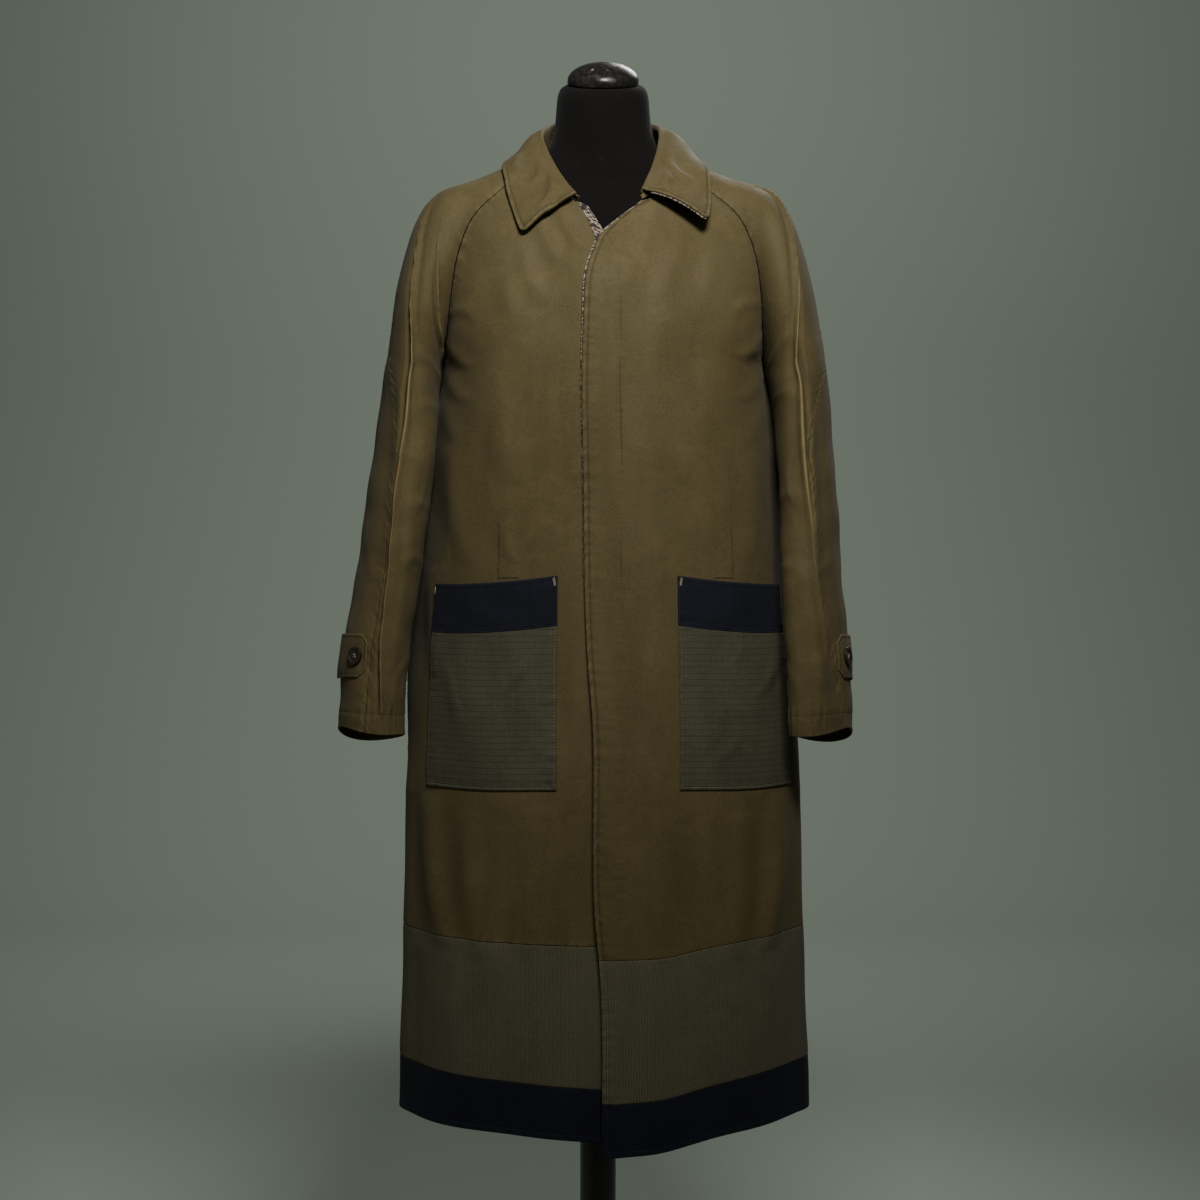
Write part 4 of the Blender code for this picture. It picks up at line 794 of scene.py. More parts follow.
def handled_cloth():
    """Broad patches, soft crumples and fine fuzz of a cloth that has been worn."""
    def build(tree, given):
        place = given["Vector"]
        long_way = add_node(tree, "ShaderNodeMapping", {"Vector": place, "Scale": (2.0, 2.0, 0.45)})
        patch = noise(tree, long_way.outputs[0], 11.0, 6.0, Roughness=0.62)
        bent = noise(tree, place, 22.0, 5.0, Roughness=0.62, Distortion=0.6)
        crumple = calc(tree, "ABSOLUTE", calc(tree, "SUBTRACT", bent, 0.5))
        return {"Patch": ramp_between(tree, patch, 0.32, 0.68),
                "Crumple": ramp_between(tree, crumple, 0.0, 0.10, 1.0, 0.0),
                "Grain": noise(tree, place, given["Grain"], 3.0, Roughness=0.7),
                "Swell": noise(tree, place, 14.0, 3.0, Roughness=0.5, Distortion=0.8)}

    return shader_group("Handled cloth", {"Vector": (VECTOR, None), "Grain": (FLOAT, 420.0)},
                        ["Patch", "Crumple", "Grain", "Swell"], build)


def woven():
    """Lines of a weave: diagonal ones, grooves between upright ribs, and a grid of thick yarns
    that shows most across the cloth."""
    def build(tree, given):
        uv = add_node(tree, "ShaderNodeSeparateXYZ", {0: given["Cloth"]})
        u, v = uv.outputs[0], uv.outputs[1]

        def wave(value, pitch):
            turn = calc(tree, "MULTIPLY", calc(tree, "DIVIDE", value, pitch), 2 * math.pi)
            return calc(tree, "MULTIPLY_ADD", calc(tree, "SINE", turn), 0.5, 0.5)

        diagonal = wave(calc(tree, "ADD", u, calc(tree, "MULTIPLY", v, 0.8)), given["Pitch"])
        groove = ramp_between(tree, wave(u, given["Pitch"]), 0.0, 0.55, 1.0, 0.0)
        lines = []
        for value in (u, v):
            part = calc(tree, "FRACT", calc(tree, "DIVIDE", value, given["Pitch"]))
            part = calc(tree, "ABSOLUTE", calc(tree, "SUBTRACT", part, 0.5))
            lines.append(ramp_between(tree, part, 0.0, 0.13, 1.0, 0.0))
        grid = calc(tree, "MAXIMUM", calc(tree, "MULTIPLY", lines[0], 0.35), lines[1])
        return {"Diagonal": diagonal, "Groove": groove, "Grid": grid}

    return shader_group("Woven lines", {"Cloth": (VECTOR, None), "Pitch": (FLOAT, 0.0011)},
                        ["Diagonal", "Groove", "Grid"], build)


def use_group(tree, group, inputs):
    made = add_node(tree, "ShaderNodeGroup", node_tree=group)
    for key, value in inputs.items():
        if isinstance(value, bpy.types.NodeSocket):
            tree.links.new(value, made.inputs[key])
        else:
            made.inputs[key].default_value = value
    return made.outputs


def new_finish(name, **constants):
    """A material with its shader and the sources that finishes read."""
    material = bpy.data.materials.new(name)
    material.use_nodes = True
    tree = material.node_tree
    shader = tree.nodes["Principled BSDF"]
    for key, value in constants.items():
        shader.inputs[key.replace("_", " ")].default_value = value
    place = add_node(tree, "ShaderNodeTexCoord").outputs["Object"]
    cloth_map = add_node(tree, "ShaderNodeUVMap", uv_map="Cloth").outputs["UV"]
    return material, tree, shader, place, cloth_map


def cover(tree, shader, base, layers):
    """Link the colour, and chain bumps of heights in millimetres into the shader's normal."""
    tree.links.new(base, shader.inputs["Base Color"])
    normal = None
    for height, millimetres in layers:
        inputs = {"Height": height, "Distance": millimetres / 1000, "Strength": 1.0}
        if normal:
            inputs["Normal"] = normal
        normal = add_node(tree, "ShaderNodeBump", inputs).outputs["Normal"]
    tree.links.new(normal, shader.inputs["Normal"])


def attribute(tree, name):
    return add_node(tree, "ShaderNodeAttribute", attribute_name=name).outputs["Vector"]


def darker(value, share):
    return tuple(part * share for part in value)


def stored(build):
    """Keep one material for each finish, and hand out the same one again."""
    def give():
        name = build.__name__.replace("_", " ").capitalize()
        return bpy.data.materials.get(name) or build(name)
    return give


# The woven cloths: which lines of the weave show and how, and how much the wear does; worn also sets the
# lighter tone of the painted highlights on seams and creases
WEAVES = {
    "khaki": dict(worn=2.3, thread=0.75, lines="Diagonal", pitch=0.0013, tone=0.45, amount=0.34,
                  raised=0.09, rough=(0.70, 0.84), crumple=0.14, swell=1.5, sheen=0.03),
    "olive": dict(worn=2.1, thread=1.6, lines="Groove", pitch=0.0030, tone=0.45, amount=0.45,
                  raised=-0.22, rough=(0.84, 0.88), crumple=0.06, swell=1.6, sheen=0.03),
    "navy": dict(worn=3.4, thread=3.0, lines="Diagonal", pitch=0.0012, tone=1.7, amount=0.30,
                 raised=0.06, rough=(0.84, 0.90), crumple=0.05, swell=1.6, sheen=0.02),
    "ripstop": dict(worn=2.0, thread=2.0, lines="Grid", pitch=0.0070, tone=0.50, amount=0.55,
                    raised=-0.12, rough=(0.76, 0.82), crumple=0.14, swell=2.2, sheen=0.03)}


def woven_cloth(slot):
    """The finish of one of the woven cloths, made once."""
    name = "Woven " + slot
    if name in bpy.data.materials:
        return bpy.data.materials[name]
    kind, size, tone = WEAVES[slot], sizes(), tuple(getattr(colours(), slot))
    material, tree, shader, place, cloth_map = new_finish(
        name, Sheen_Weight=kind["sheen"], Sheen_Roughness=0.5, Specular_IOR_Level=0.22)
    worn = use_group(tree, handled_cloth(), {"Vector": place, "Grain": 480.0})
    weave = use_group(tree, woven(), {"Cloth": cloth_map, "Pitch": kind["pitch"]})
    seam, line = (use_group(tree, sewn_seam(), {"Field": attribute(tree, title), "Inset": size.inset,
                                                "Stitch": size.stitch}) for title in ("Seam", "Line"))
    # rubbed is a lighter tone, for rubbed wear and for painted highlights.
    lines, rubbed = weave[kind["lines"]], darker(tone, kind["worn"])
    base = mix(tree, calc(tree, "MULTIPLY", worn["Patch"], 0.55), tone, darker(tone, 0.66))
    rub = calc(tree, "MULTIPLY", worn["Crumple"], ramp_between(tree, worn["Swell"], 0.42, 0.66))
    base = mix(tree, calc(tree, "MULTIPLY", rub, kind["crumple"]), base, rubbed)
    base = mix(tree, ramp_between(tree, worn["Grain"], 0.34, 0.66, 0.0, 0.38), base, darker(tone, 1.6))
    base = mix(tree, calc(tree, "MULTIPLY", lines, kind["amount"]), base, darker(tone, kind["tone"]))
    # Lighter beside the seams: partly rubbed wear, partly painted highlight.
    base = mix(tree, calc(tree, "MULTIPLY", seam["Rubbed"], 0.32), base, rubbed)
    # Painted shade in the seams' ditches and in the grooves that the stitching pulls in.
    for dark in (seam["Ditch"], seam["Pulled"], line["Pulled"]):
        base = mix(tree, calc(tree, "MULTIPLY", dark, 0.60), base, darker(tone, 0.35))
    for made in (seam, line):
        base = mix(tree, made["Thread"], base, darker(tone, kind["thread"]))
    # Painted highlight on each sleeve crease's ridge, in the rubbed tone, and painted shade in the hollow
    # beside it.
    fold = add_node(tree, "ShaderNodeSeparateXYZ", {0: attribute(tree, "Fold")}).outputs
    for off, wide, amount, colour in ((0.0, 0.0017, 0.85, rubbed),
                                      (0.0062, 0.0042, 0.45, darker(tone, 0.45))):
        beside = calc(tree, "ABSOLUTE", calc(tree, "SUBTRACT", fold[0], off))
        shown = calc(tree, "MULTIPLY", ramp_between(tree, beside, 0.0, wide, amount, 0.0), fold[2])
        base = mix(tree, shown, base, colour)
    tree.links.new(ramp_between(tree, worn["Patch"], 0.0, 1.0, *kind["rough"]), shader.inputs["Roughness"])
    cover(tree, shader, base, [(worn["Swell"], kind["swell"]), (worn["Crumple"], 0.09),
                               (seam["Height"], 0.8), (line["Height"], 0.8),
                               (lines, kind["raised"]), (worn["Grain"], 0.10)])
    return material


# Colours of what lies on the hard finishes and the jersey
HORN_STREAK, LINT = (0.045, 0.032, 0.020), (0.09, 0.08, 0.075)
DUST, CHIP = (0.05, 0.042, 0.036), (0.20, 0.17, 0.14)


@stored
def wool_tweed(name):
    """Tweed of cream, black and tan yarns in short slubs."""
    hue = colours()
    material, tree, shader, place, cloth_map = new_finish(
        name, Sheen_Weight=0.25, Sheen_Roughness=0.6, Specular_IOR_Level=0.2)
    stretched = add_node(tree, "ShaderNodeMapping", {"Vector": cloth_map, "Scale": (430, 250, 1)})
    slub = add_node(tree, "ShaderNodeTexVoronoi", {"Vector": stretched.outputs[0], "Scale": 1.0,
                                                   "Randomness": 0.6}, voronoi_dimensions="2D")
    pick = add_node(tree, "ShaderNodeSeparateColor", {0: slub.outputs["Color"]}).outputs[0]
    dark = ramp_between(tree, pick, 0.42, 0.46)
    tan = ramp_between(tree, pick, 0.78, 0.82)
    base = mix(tree, dark, hue.cream, hue.black)
    base = mix(tree, tan, base, hue.tan)
    base = mix(tree, ramp_between(tree, slub.outputs["Distance"], 0.24, 0.55, 0.0, 0.85), base, hue.black)
    shader.inputs["Roughness"].default_value = 0.9
    round_top = calc(tree, "SUBTRACT", 1.0, slub.outputs["Distance"])
    worn = use_group(tree, handled_cloth(), {"Vector": place, "Grain": 900.0})
    cover(tree, shader, base, [(round_top, 0.9), (worn["Grain"], 0.15)])
    return material


@stored
def polished_horn(name):
    """Dark horn with slightly lighter streaks."""
    hue = colours()
    material, tree, shader, place, _ = new_finish(name, Roughness=0.28, Coat_Weight=0.15,
                                                  Coat_Roughness=0.15)
    streak = noise(tree, place, 260.0, 4.0, Distortion=1.4)
    base = mix(tree, ramp_between(tree, streak, 0.42, 0.66), hue.horn, HORN_STREAK)
    cover(tree, shader, base, [(streak, 0.05)])
    return material


@stored
def sewing_thread(name):
    """Thick cream thread of bar tacks and button shanks."""
    hue = colours()
    material, tree, shader, place, _ = new_finish(name, Roughness=0.8, Specular_IOR_Level=0.25)
    twist = add_node(tree, "ShaderNodeTexWave", {"Vector": place, "Scale": 260.0, "Distortion": 1.0})
    base = mix(tree, twist.outputs["Fac"], darker(hue.cream, 0.75), darker(hue.cream, 0.35))
    cover(tree, shader, base, [(twist.outputs["Fac"], 0.15)])
    return material


@stored
def black_jersey(name):
    """Matt black jersey stretched over the form, with fine lint."""
    hue = colours()
    material, tree, shader, place, _ = new_finish(name, Roughness=0.95, Sheen_Weight=0.03,
                                                  Sheen_Roughness=0.5, Specular_IOR_Level=0.12)
    knit, broad = noise(tree, place, 900.0, 2.0), noise(tree, place, 9.0, 3.0)
    lint = add_node(tree, "ShaderNodeTexVoronoi", {"Vector": place, "Scale": 60.0})
    fleck = ramp_between(tree, lint.outputs["Distance"], 0.02, 0.05, 0.35, 0.0)
    base = mix(tree, ramp_between(tree, broad, 0.35, 0.7), hue.jersey, darker(hue.jersey, 1.7))
    base = mix(tree, calc(tree, "MULTIPLY", knit, 0.4), base, darker(hue.jersey, 2.4))
    base = mix(tree, fleck, base, LINT)
    cover(tree, shader, base, [(broad, 1.2), (knit, 0.12)])
    return material


@stored
def black_lacquer(name):
    """Gloss lacquer with dust, fine scratches and a few chips."""
    hue = colours()
    material, tree, shader, place, _ = new_finish(name, Coat_Weight=0.08, Coat_Roughness=0.2,
                                                  Specular_IOR_Level=0.25)
    dust, chips = noise(tree, place, 160.0, 5.0), noise(tree, place, 150.0, 1.0)
    base = mix(tree, ramp_between(tree, dust, 0.4, 0.8, 0.0, 0.5), hue.lacquer, DUST)
    base = mix(tree, ramp_between(tree, chips, 0.77, 0.79), base, CHIP)
    tree.links.new(ramp_between(tree, dust, 0.35, 0.7, 0.24, 0.42), shader.inputs["Roughness"])
    cover(tree, shader, base, [(dust, 0.08)])
    return material


@stored
def painted_iron(name):
    """Satin black paint with a slight orange peel and rubbed spots."""
    hue = colours()
    material, tree, shader, place, _ = new_finish(name, Coat_Weight=0.1, Coat_Roughness=0.3)
    peel, broad = noise(tree, place, 320.0, 2.0), noise(tree, place, 12.0, 5.0)
    rubbed = ramp_between(tree, broad, 0.45, 0.7, 0.0, 0.6)
    tree.links.new(ramp_between(tree, broad, 0.3, 0.7, 0.36, 0.52), shader.inputs["Roughness"])
    cover(tree, shader, mix(tree, rubbed, hue.iron, darker(hue.iron, 1.9)), [(peel, 0.06)])
    return material


# ---- cloth pieces -------------------------------------------------------------------------
def lengths(points, axis):
    """Distance run along a grid's lines from its first row or column."""
    steps = np.linalg.norm(np.diff(points, axis=axis), axis=-1)
    shape = list(points.shape[:2])
    shape[axis] = 1
    return np.concatenate([np.zeros(shape), np.cumsum(steps, axis=axis)], axis=axis)


def edge_fields(points):
    """For each edge of a grid its distance from each point, and the run along it."""
    down, across = lengths(points, 0), lengths(points, 1)
    return {"top": (down, across), "foot": (down[-1:] - down, across),
            "near": (across, down), "far": (across[:, -1:] - across, down)}


def seam_field(fields, edges):
    """The nearest of the named edges: its distance and the run along it."""
    off = np.stack([np.broadcast_to(fields[edge][0], fields[edge][1].shape) for edge in edges])
    run = np.stack([fields[edge][1] for edge in edges])
    nearest = off.argmin(axis=0)[None]
    return np.take_along_axis(off, nearest, 0)[0], np.take_along_axis(run, nearest, 0)[0]


def sewn(points, normals, edges, stitched, pucker, seed=1.0):
    """Draw a panel's named edges down into their seams, gather it along them, and pull the
    topstitching in."""
    fields = edge_fields(points)
    lift = np.zeros(points.shape[:2])
    for place, edge in enumerate(edges):
        off, run = fields[edge]
        lift -= 0.0003 * np.exp(-(off / 0.0013) ** 2)
        wave = ripple(run, seed + 1.9 * place, 0.013)
        lift += pucker * wave * np.exp(-(off / 0.013) ** 1.5) * blend(0.0, 0.004, off)
        if edge in stitched:
            lift -= 0.00035 * bump(off, sizes().inset, 0.0012)
    return points + normals * lift[..., None]


def round_corners(points, radius):
    """Round the two lower corners of a grid."""
    fields = edge_fields(points)
    down, across = unit(np.gradient(points, axis=0)), unit(np.gradient(points, axis=1))
    low = np.clip(radius - fields["foot"][0], 0, None)
    for edge, way in (("near", 1), ("far", -1)):
        side = np.clip(radius - fields[edge][0], 0, None)
        shrink = 1 - np.maximum(side, low) / np.maximum(np.hypot(side, low), 1e-9)
        shrink = np.where((side > 0) & (low > 0), shrink, 0)
        points = points + across * (way * side * shrink)[..., None] - down * (low * shrink)[..., None]
    return points


def rim_faces(rows, columns):
    """Loop of a grid's boundary as places in the grid."""
    index = np.arange(rows * columns).reshape(rows, columns)
    return np.concatenate([index[0, :], index[1:, -1], index[-1, -2::-1], index[-2:0:-1, 0]])


def cloth(name, outer, normals, thickness, material, uv, fields=None, edge=0.00015):
    """A cloth wall with rounded edges under a grid of outside points. uv is in metres along
    the cloth, and fields are more vector attributes for its material."""
    rows, columns = outer.shape[:2]
    count = rows * columns
    face_grid = inset_edges(outer, edge)
    inner = face_grid - normals * thickness
    rim = rim_faces(rows, columns)
    middle = (outer - normals * thickness / 2).reshape(-1, 3)[rim]
    points = np.concatenate([face_grid.reshape(-1, 3), inner.reshape(-1, 3), middle])
    points += np.array([COAT_X, 0, 0])
    index = np.arange(count).reshape(rows, columns)
    quads = np.stack([index[:-1, :-1], index[:-1, 1:], index[1:, 1:], index[1:, :-1]], -1).reshape(-1, 4)
    after = np.roll(rim, -1)
    ring = 2 * count + np.arange(len(rim))
    ring_after = np.roll(ring, -1)
    upper = np.stack([after, rim, ring, ring_after], -1)
    lower = np.stack([ring_after, ring, rim + count, after + count], -1)
    faces = np.concatenate([quads, quads[:, ::-1] + count, upper, lower])
    side = np.cross(outer[0, 1] - outer[0, 0], outer[1, 0] - outer[0, 0])
    if np.dot(side, normals[0, 0]) < 0:
        faces = faces[:, ::-1]
    mesh = bpy.data.meshes.new(name)
    mesh.vertices.add(len(points))
    mesh.vertices.foreach_set("co", points.ravel())
    mesh.loops.add(faces.size)
    mesh.loops.foreach_set("vertex_index", faces.ravel().astype(np.int32))
    mesh.polygons.add(len(faces))
    mesh.polygons.foreach_set("loop_start", np.arange(0, faces.size, 4, dtype=np.int32))
    mesh.polygons.foreach_set("loop_total", np.full(len(faces), 4, dtype=np.int32))

    def spread(values):
        values = np.broadcast_to(values, (rows, columns) + values.shape[2:]).reshape(count, -1)
        return np.concatenate([values, values, values[rim]])

    layer = mesh.uv_layers.new(name="Cloth")
    layer.uv.foreach_set("vector", spread(uv)[faces.ravel()].ravel().astype(np.float32))
    for title, values in (fields or {}).items():
        attribute = mesh.attributes.new(title, "FLOAT_VECTOR", "POINT")
        attribute.data.foreach_set("vector", spread(values).ravel().astype(np.float32))
    mesh.update(calc_edges=True)
    mesh.validate()
    mesh.shade_smooth()
    mesh.materials.append(material)
    item = bpy.data.objects.new(name, mesh)
    bpy.context.collection.objects.link(item)
    item["outer_points"] = count
    return item


def seam_vectors(points, edges, strength=1.0, shift=0.0):
    """Distance from the nearest sewn edge, run along it and strength, as one attribute."""
    off, run = seam_field(edge_fields(points), edges)
    return np.stack([off + shift, run, np.full(off.shape, strength)], -1)


def tie(item, node):
    """Tie a piece to the frame's node that it stands for."""
    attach(item, "root")
    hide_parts(node)
    return item


def finish(item, node):
    tie(item, node)
    return item


# ---- panels -------------------------------------------------------------------------------
def sizes():
    return bpy.context.scene.coat_sizes


def colours():
    return bpy.context.scene.coat_colours


def steps(length):
    """Points of a grid line this long."""
    return max(4, int(round(length / sizes().grid)) + 1)


EDGE_STOPS = np.array([0, 0.0011, 0.0024, 0.0046, 0.0060, 0.0074])   # finer beside a seam


def places(length):
    """Parts of a grid line this long, closer together beside its ends."""
    middle = np.linspace(0.0105, length - 0.0105, steps(length - 0.021))
    return np.concatenate([EDGE_STOPS, middle, length - EDGE_STOPS[::-1]]) / length


def chest_start(row, side):
    """The front edge of an upper front, from the underarm's level to the neck."""
    centre = table(CHEST, row)
    y, z = centre[..., 0], centre[..., 1]
    if side > 0:
        across = np.where(row <= 0.62, table(EDGE, z)[..., 0], 0)
        across = np.where(row > 0.62, -0.0056 + (row - 0.62) / 0.38 * 0.051, across)
    else:
        across = np.interp(row, [0, 0.35, 0.62, 1.0], [OVERLAP_X, 0.028, -0.008, -0.0295])
        y = y + 0.0028 * blend(0, 0.2, row)
    return np.stack([across, y, z], -1)


def side_fill(points):
    """How far the body stands out beside its side seams."""
    x, y, z = np.moveaxis(points, -1, 0)
    filled = table(SIDE_FILL, np.clip(z, 0.82, 1.30))
    return np.where(x < 0, filled[..., 0], filled[..., 1]) * bump(y, 0.020, 0.050)


def front_lift(points, side):
    """The over front lies on the under front near the centre, and the side stands out."""
    loose = 0.0036 + 0.0054 * (1 - blend(0.80, 1.15, points[..., 2]))
    lift = loose * (1 - blend(0.05, 0.10, points[..., 0])) if side > 0 else 0
    return lift + side_fill(points)


def front_columns(side, height, part):
    """Turns round the body of a front's columns at a height."""
    inner = table(EDGE, height)[0] if side > 0 else OVERLAP_X
    start = around_at(np.array([inner]), np.array([height]))[0]
    return start * (1 - part) + side * part


def level_heights(which, turns, side=0):
    """Heights of a level: a height itself, or a column of the seam table."""
    if isinstance(which, float):
        return np.full(turns.shape, which)
    return seam_height(which, turns, side)


def level_grid(turns, top, bottom, side=0):
    """Heights of a grid between two levels of the body tube."""
    ends = level_heights(top, turns, side), level_heights(bottom, turns, side)
    share = places((ends[0] - ends[1]).mean())[:, None]
    return ends[0] * (1 - share) + ends[1] * share


def front_part(side, top, bottom, part):
    """Grid of a front between two levels of the body tube."""
    heights = level_grid(front_columns(side, 0.9, part), top, bottom, side)
    turns = np.stack([front_columns(side, row[0], part) for row in heights])
    return body_wall(turns, heights)


def back_part(top, bottom, part):
    """Grid of the back between two levels, from one side seam to the other."""
    turns = np.where(part <= 0.5, 1 + 2 * part, 2 * part - 3)
    heights = level_grid(turns, top, bottom)
    return body_wall(np.broadcast_to(turns, heights.shape), heights)


def front_relief(points, side):
    """Folds of a front where it hangs, less where the fronts lie on each other."""
    x, z = points[..., 0], points[..., 2]
    low = blend(0.70, 0.50, z)
    relief = ridges(FRONT_FOLDS[side], x, z)
    relief = relief + low * 0.0016 * np.sin(side * x * 52 + 0.7 * side) * blend(0.03, 0.10, np.abs(x))
    creep = 0.0007 * np.sin(z * 41 + 17 * x) * np.sin(x * 63 - 9 * z + side)
    shared = 0.25 + 0.75 * blend(0.03, 0.07, side * x) if side > 0 else blend(0.022, -0.03, x)
    return sizes().folds * (relief + creep) * shared


def back_relief(points):
    x, z = points[..., 0], points[..., 2]
    creep = 0.0008 * np.sin(z * 37 + 13 * x) * np.sin(x * 51 - 7 * z)
    low = blend(0.75, 0.50, z) * 0.0020 * np.sin(x * 47 + 0.5)
    return sizes().folds * (ridges(BACK_FOLDS, x, z) + creep + low)


def eased(points, row, part):
    """Smooth a grid along its columns round one row, but not at its far edge."""
    points = points.copy()
    share = 0.5 * bump(np.arange(len(points)), row, 6.0)[:, None] * (1 - blend(0.965, 1.0, part))
    for _ in range(80):
        points[1:-1] += share[1:-1, :, None] * ((points[:-2] + points[2:]) / 2 - points[1:-1])
    return points


def draped(points, normals, relief, fixed_edges):
    """Add relief to a panel, fading to nothing at the edges that are sewn to other forms."""
    fields = edge_fields(points)
    for edge in fixed_edges:
        relief = relief * blend(0.0, 0.012, fields[edge][0])
    return points + normals * relief[..., None]


def cloth_uv(points):
    """Metres across and up the cloth, measured from its first column and last row."""
    down, across = lengths(points, 0), lengths(points, 1)
    return np.stack([across, down[-1:] - down], -1)


def flat_size(points):
    """Width, length and area of the cut that a grid was laid from."""
    across, down = lengths(points, 1)[:, -1], lengths(points, 0)[-1]
    cells = np.cross(points[1:, 1:] - points[:-1, :-1], points[1:, :-1] - points[:-1, 1:])
    return (float(across.max()), float(down.max())), float(np.linalg.norm(cells, axis=-1).sum() / 2)


def add_panel(node, points, normals, slot, sewn_edges, stitched=(), thickness=None, strength=1.0,
              seed=1.0, shift=0.0, rests_on=("form_body",), carries=(), **more):
    """One cut piece: gathered along its sewn edges and stitched along some of them. carries is
    not used; it names the narrow strips sewn to it. more are further fields for its finish."""
    size, area = flat_size(points)
    points = sewn(points, normals, sewn_edges, stitched, sizes().pucker * strength, seed=seed)
    fields = {"Seam": seam_vectors(points, stitched or sewn_edges, 1.0 if stitched else 0.0, shift)}
    fields.update(more)
    item = cloth("coat_" + node, points, normals, thickness or sizes().shell, woven_cloth(slot),
                 cloth_uv(points), fields)
    area = min(area, size[0] * size[1])
    return finish(item, node)


def tree_of(items):
    """The whole walls of these pieces, to measure from."""
    points, faces = [], []
    for item in items:
        first = len(points)
        points += [vertex.co.copy() for vertex in item.data.vertices]
        faces += [[first + corner for corner in polygon.vertices] for polygon in item.data.polygons]
    return BVHTree.FromPolygons(points, faces)


def outside_of(items):
    """The outer faces alone of these walls."""
    points, faces = [], []
    for item in items:
        first = len(points)
        points += [vertex.co.copy() for vertex in item.data.vertices]
        outer = item["outer_points"]
        faces += [[first + corner for corner in polygon.vertices] for polygon in item.data.polygons
                  if max(polygon.vertices) < outer]
    return BVHTree.FromPolygons(points, faces)


def tuck_under(points, items):
    """Move points of the under front back behind the over front's inner face."""
    over = tree_of(items)
    moved = points.reshape(-1, 3).copy()
    for index, point in enumerate(moved):
        if point[0] < UNDER_FROM or point[0] > UNDER_TO:
            continue
        start = Vector(point) + Vector((COAT_X, 0.06, 0))
        place = over.ray_cast(start, Vector((0, -1, 0)), 0.10)[0]
        if place is not None:
            moved[index, 1] = max(point[1], place.y + 2 * GAP)
    return moved.reshape(points.shape)


def fly_stitch(points):
    """Field of the topstitched line that holds the fly behind the over front."""
    x, z = points[..., 0], points[..., 2]
    centre = FLY_X - 0.0020 * blend(1.10, 1.40, z)
    shown = blend(1.040, 1.052, z) * (1 - blend(1.385, 1.395, z))
    return np.stack([np.abs(x - centre) + sizes().inset, z, shown], -1)


def make_front(side, name):
    """A front of three cloths with the tweed that shows beyond its edge."""
    part = places(0.25)
    lower = front_part(side, ARM_Z, 0, part)[0]
    rows = np.linspace(0, 1, steps(0.27))
    upper = upper_grid(CHEST, rows, part, side, chest_start(rows, side), lower[0])
    points = eased(np.concatenate([upper[:0:-1], lower]), len(upper) - 1, part)
    normals = grid_normals(points, -side)
    points = points + normals * front_lift(points, side)[..., None]
    points = draped(points, normals, front_relief(points, side), ["far", "top"])
    if side < 0:
        points = tuck_under(points, [bpy.data.objects[each] for each in OVER_PIECES])
    facing = make_facing(points, normals, side)
    over = side > 0
    add_panel(name, points, normals, "khaki", ["far", "foot", "near"] if over else ["far", "foot"],
              ["near"] if over else (), seed=1.0 + side, carries=[facing],
              **({"Line": fly_stitch(points)} if over else {}))
    for which, suffix, slot in ((0, "_panel", "olive"), (1, "_hem", "navy")):
        points, normals = front_part(side, which, which + 1, part)
        points = points + normals * front_lift(points, side)[..., None]
        points = draped(points, normals, front_relief(points, side), ["far"])
        edges, stitched = (["top", "foot", "far"], ["near"]) if which == 0 else (
            ["top", "far"], ["foot", "near"])
        add_panel(name + suffix, points, normals, slot, edges + ["near"], stitched, strength=0.8,
                  seed=2.0 + side + which)


OVER_PIECES = ("coat_front_left", "coat_facing_left")


def make_facing(points, normals, side):
    """The tweed strip beyond a front's edge, rolled a little under it."""
    height = points[:, 0, 2]
    if side > 0:
        rows, lift = height > FACING_FOOT, -0.0008
        wide = np.interp(height[rows], [FACING_FOOT, 1.33, 1.41, 1.44], [0.0004, 0.0010, 0.0020, 0.0034])
    else:
        rows, lift = height > FACING_TURN, 0.0
        wide = np.interp(height[rows], [FACING_TURN, 1.43, 1.46], [FACING_NECK, 0.0125, 0.0140])
    edge = points[rows, 0] + normals[rows, 0] * lift
    out = unit(points[rows, 0] - points[rows, 1])
    share = np.linspace(0, 1, 7)[:, None, None]
    wide = wide[:, None]
    strip = edge + out * GAP + out * wide * share
    strip = strip - normals[rows, 0] * share ** 2 * wide * 0.12
    if side < 0:
        strip = tuck_under(strip, [bpy.data.objects[each] for each in OVER_PIECES])
    strip = strip.transpose(1, 0, 2)
    normals = np.repeat(normals[rows, 0][:, None], 7, axis=1)
    uv = np.stack([lengths(strip, 0), lengths(strip, 1)], -1)
    name = "facing_left" if side > 0 else "facing_right"
    item = cloth("coat_" + name, strip, normals, sizes().thin - 0.0002, wool_tweed(), uv)
    return tie(item, name)


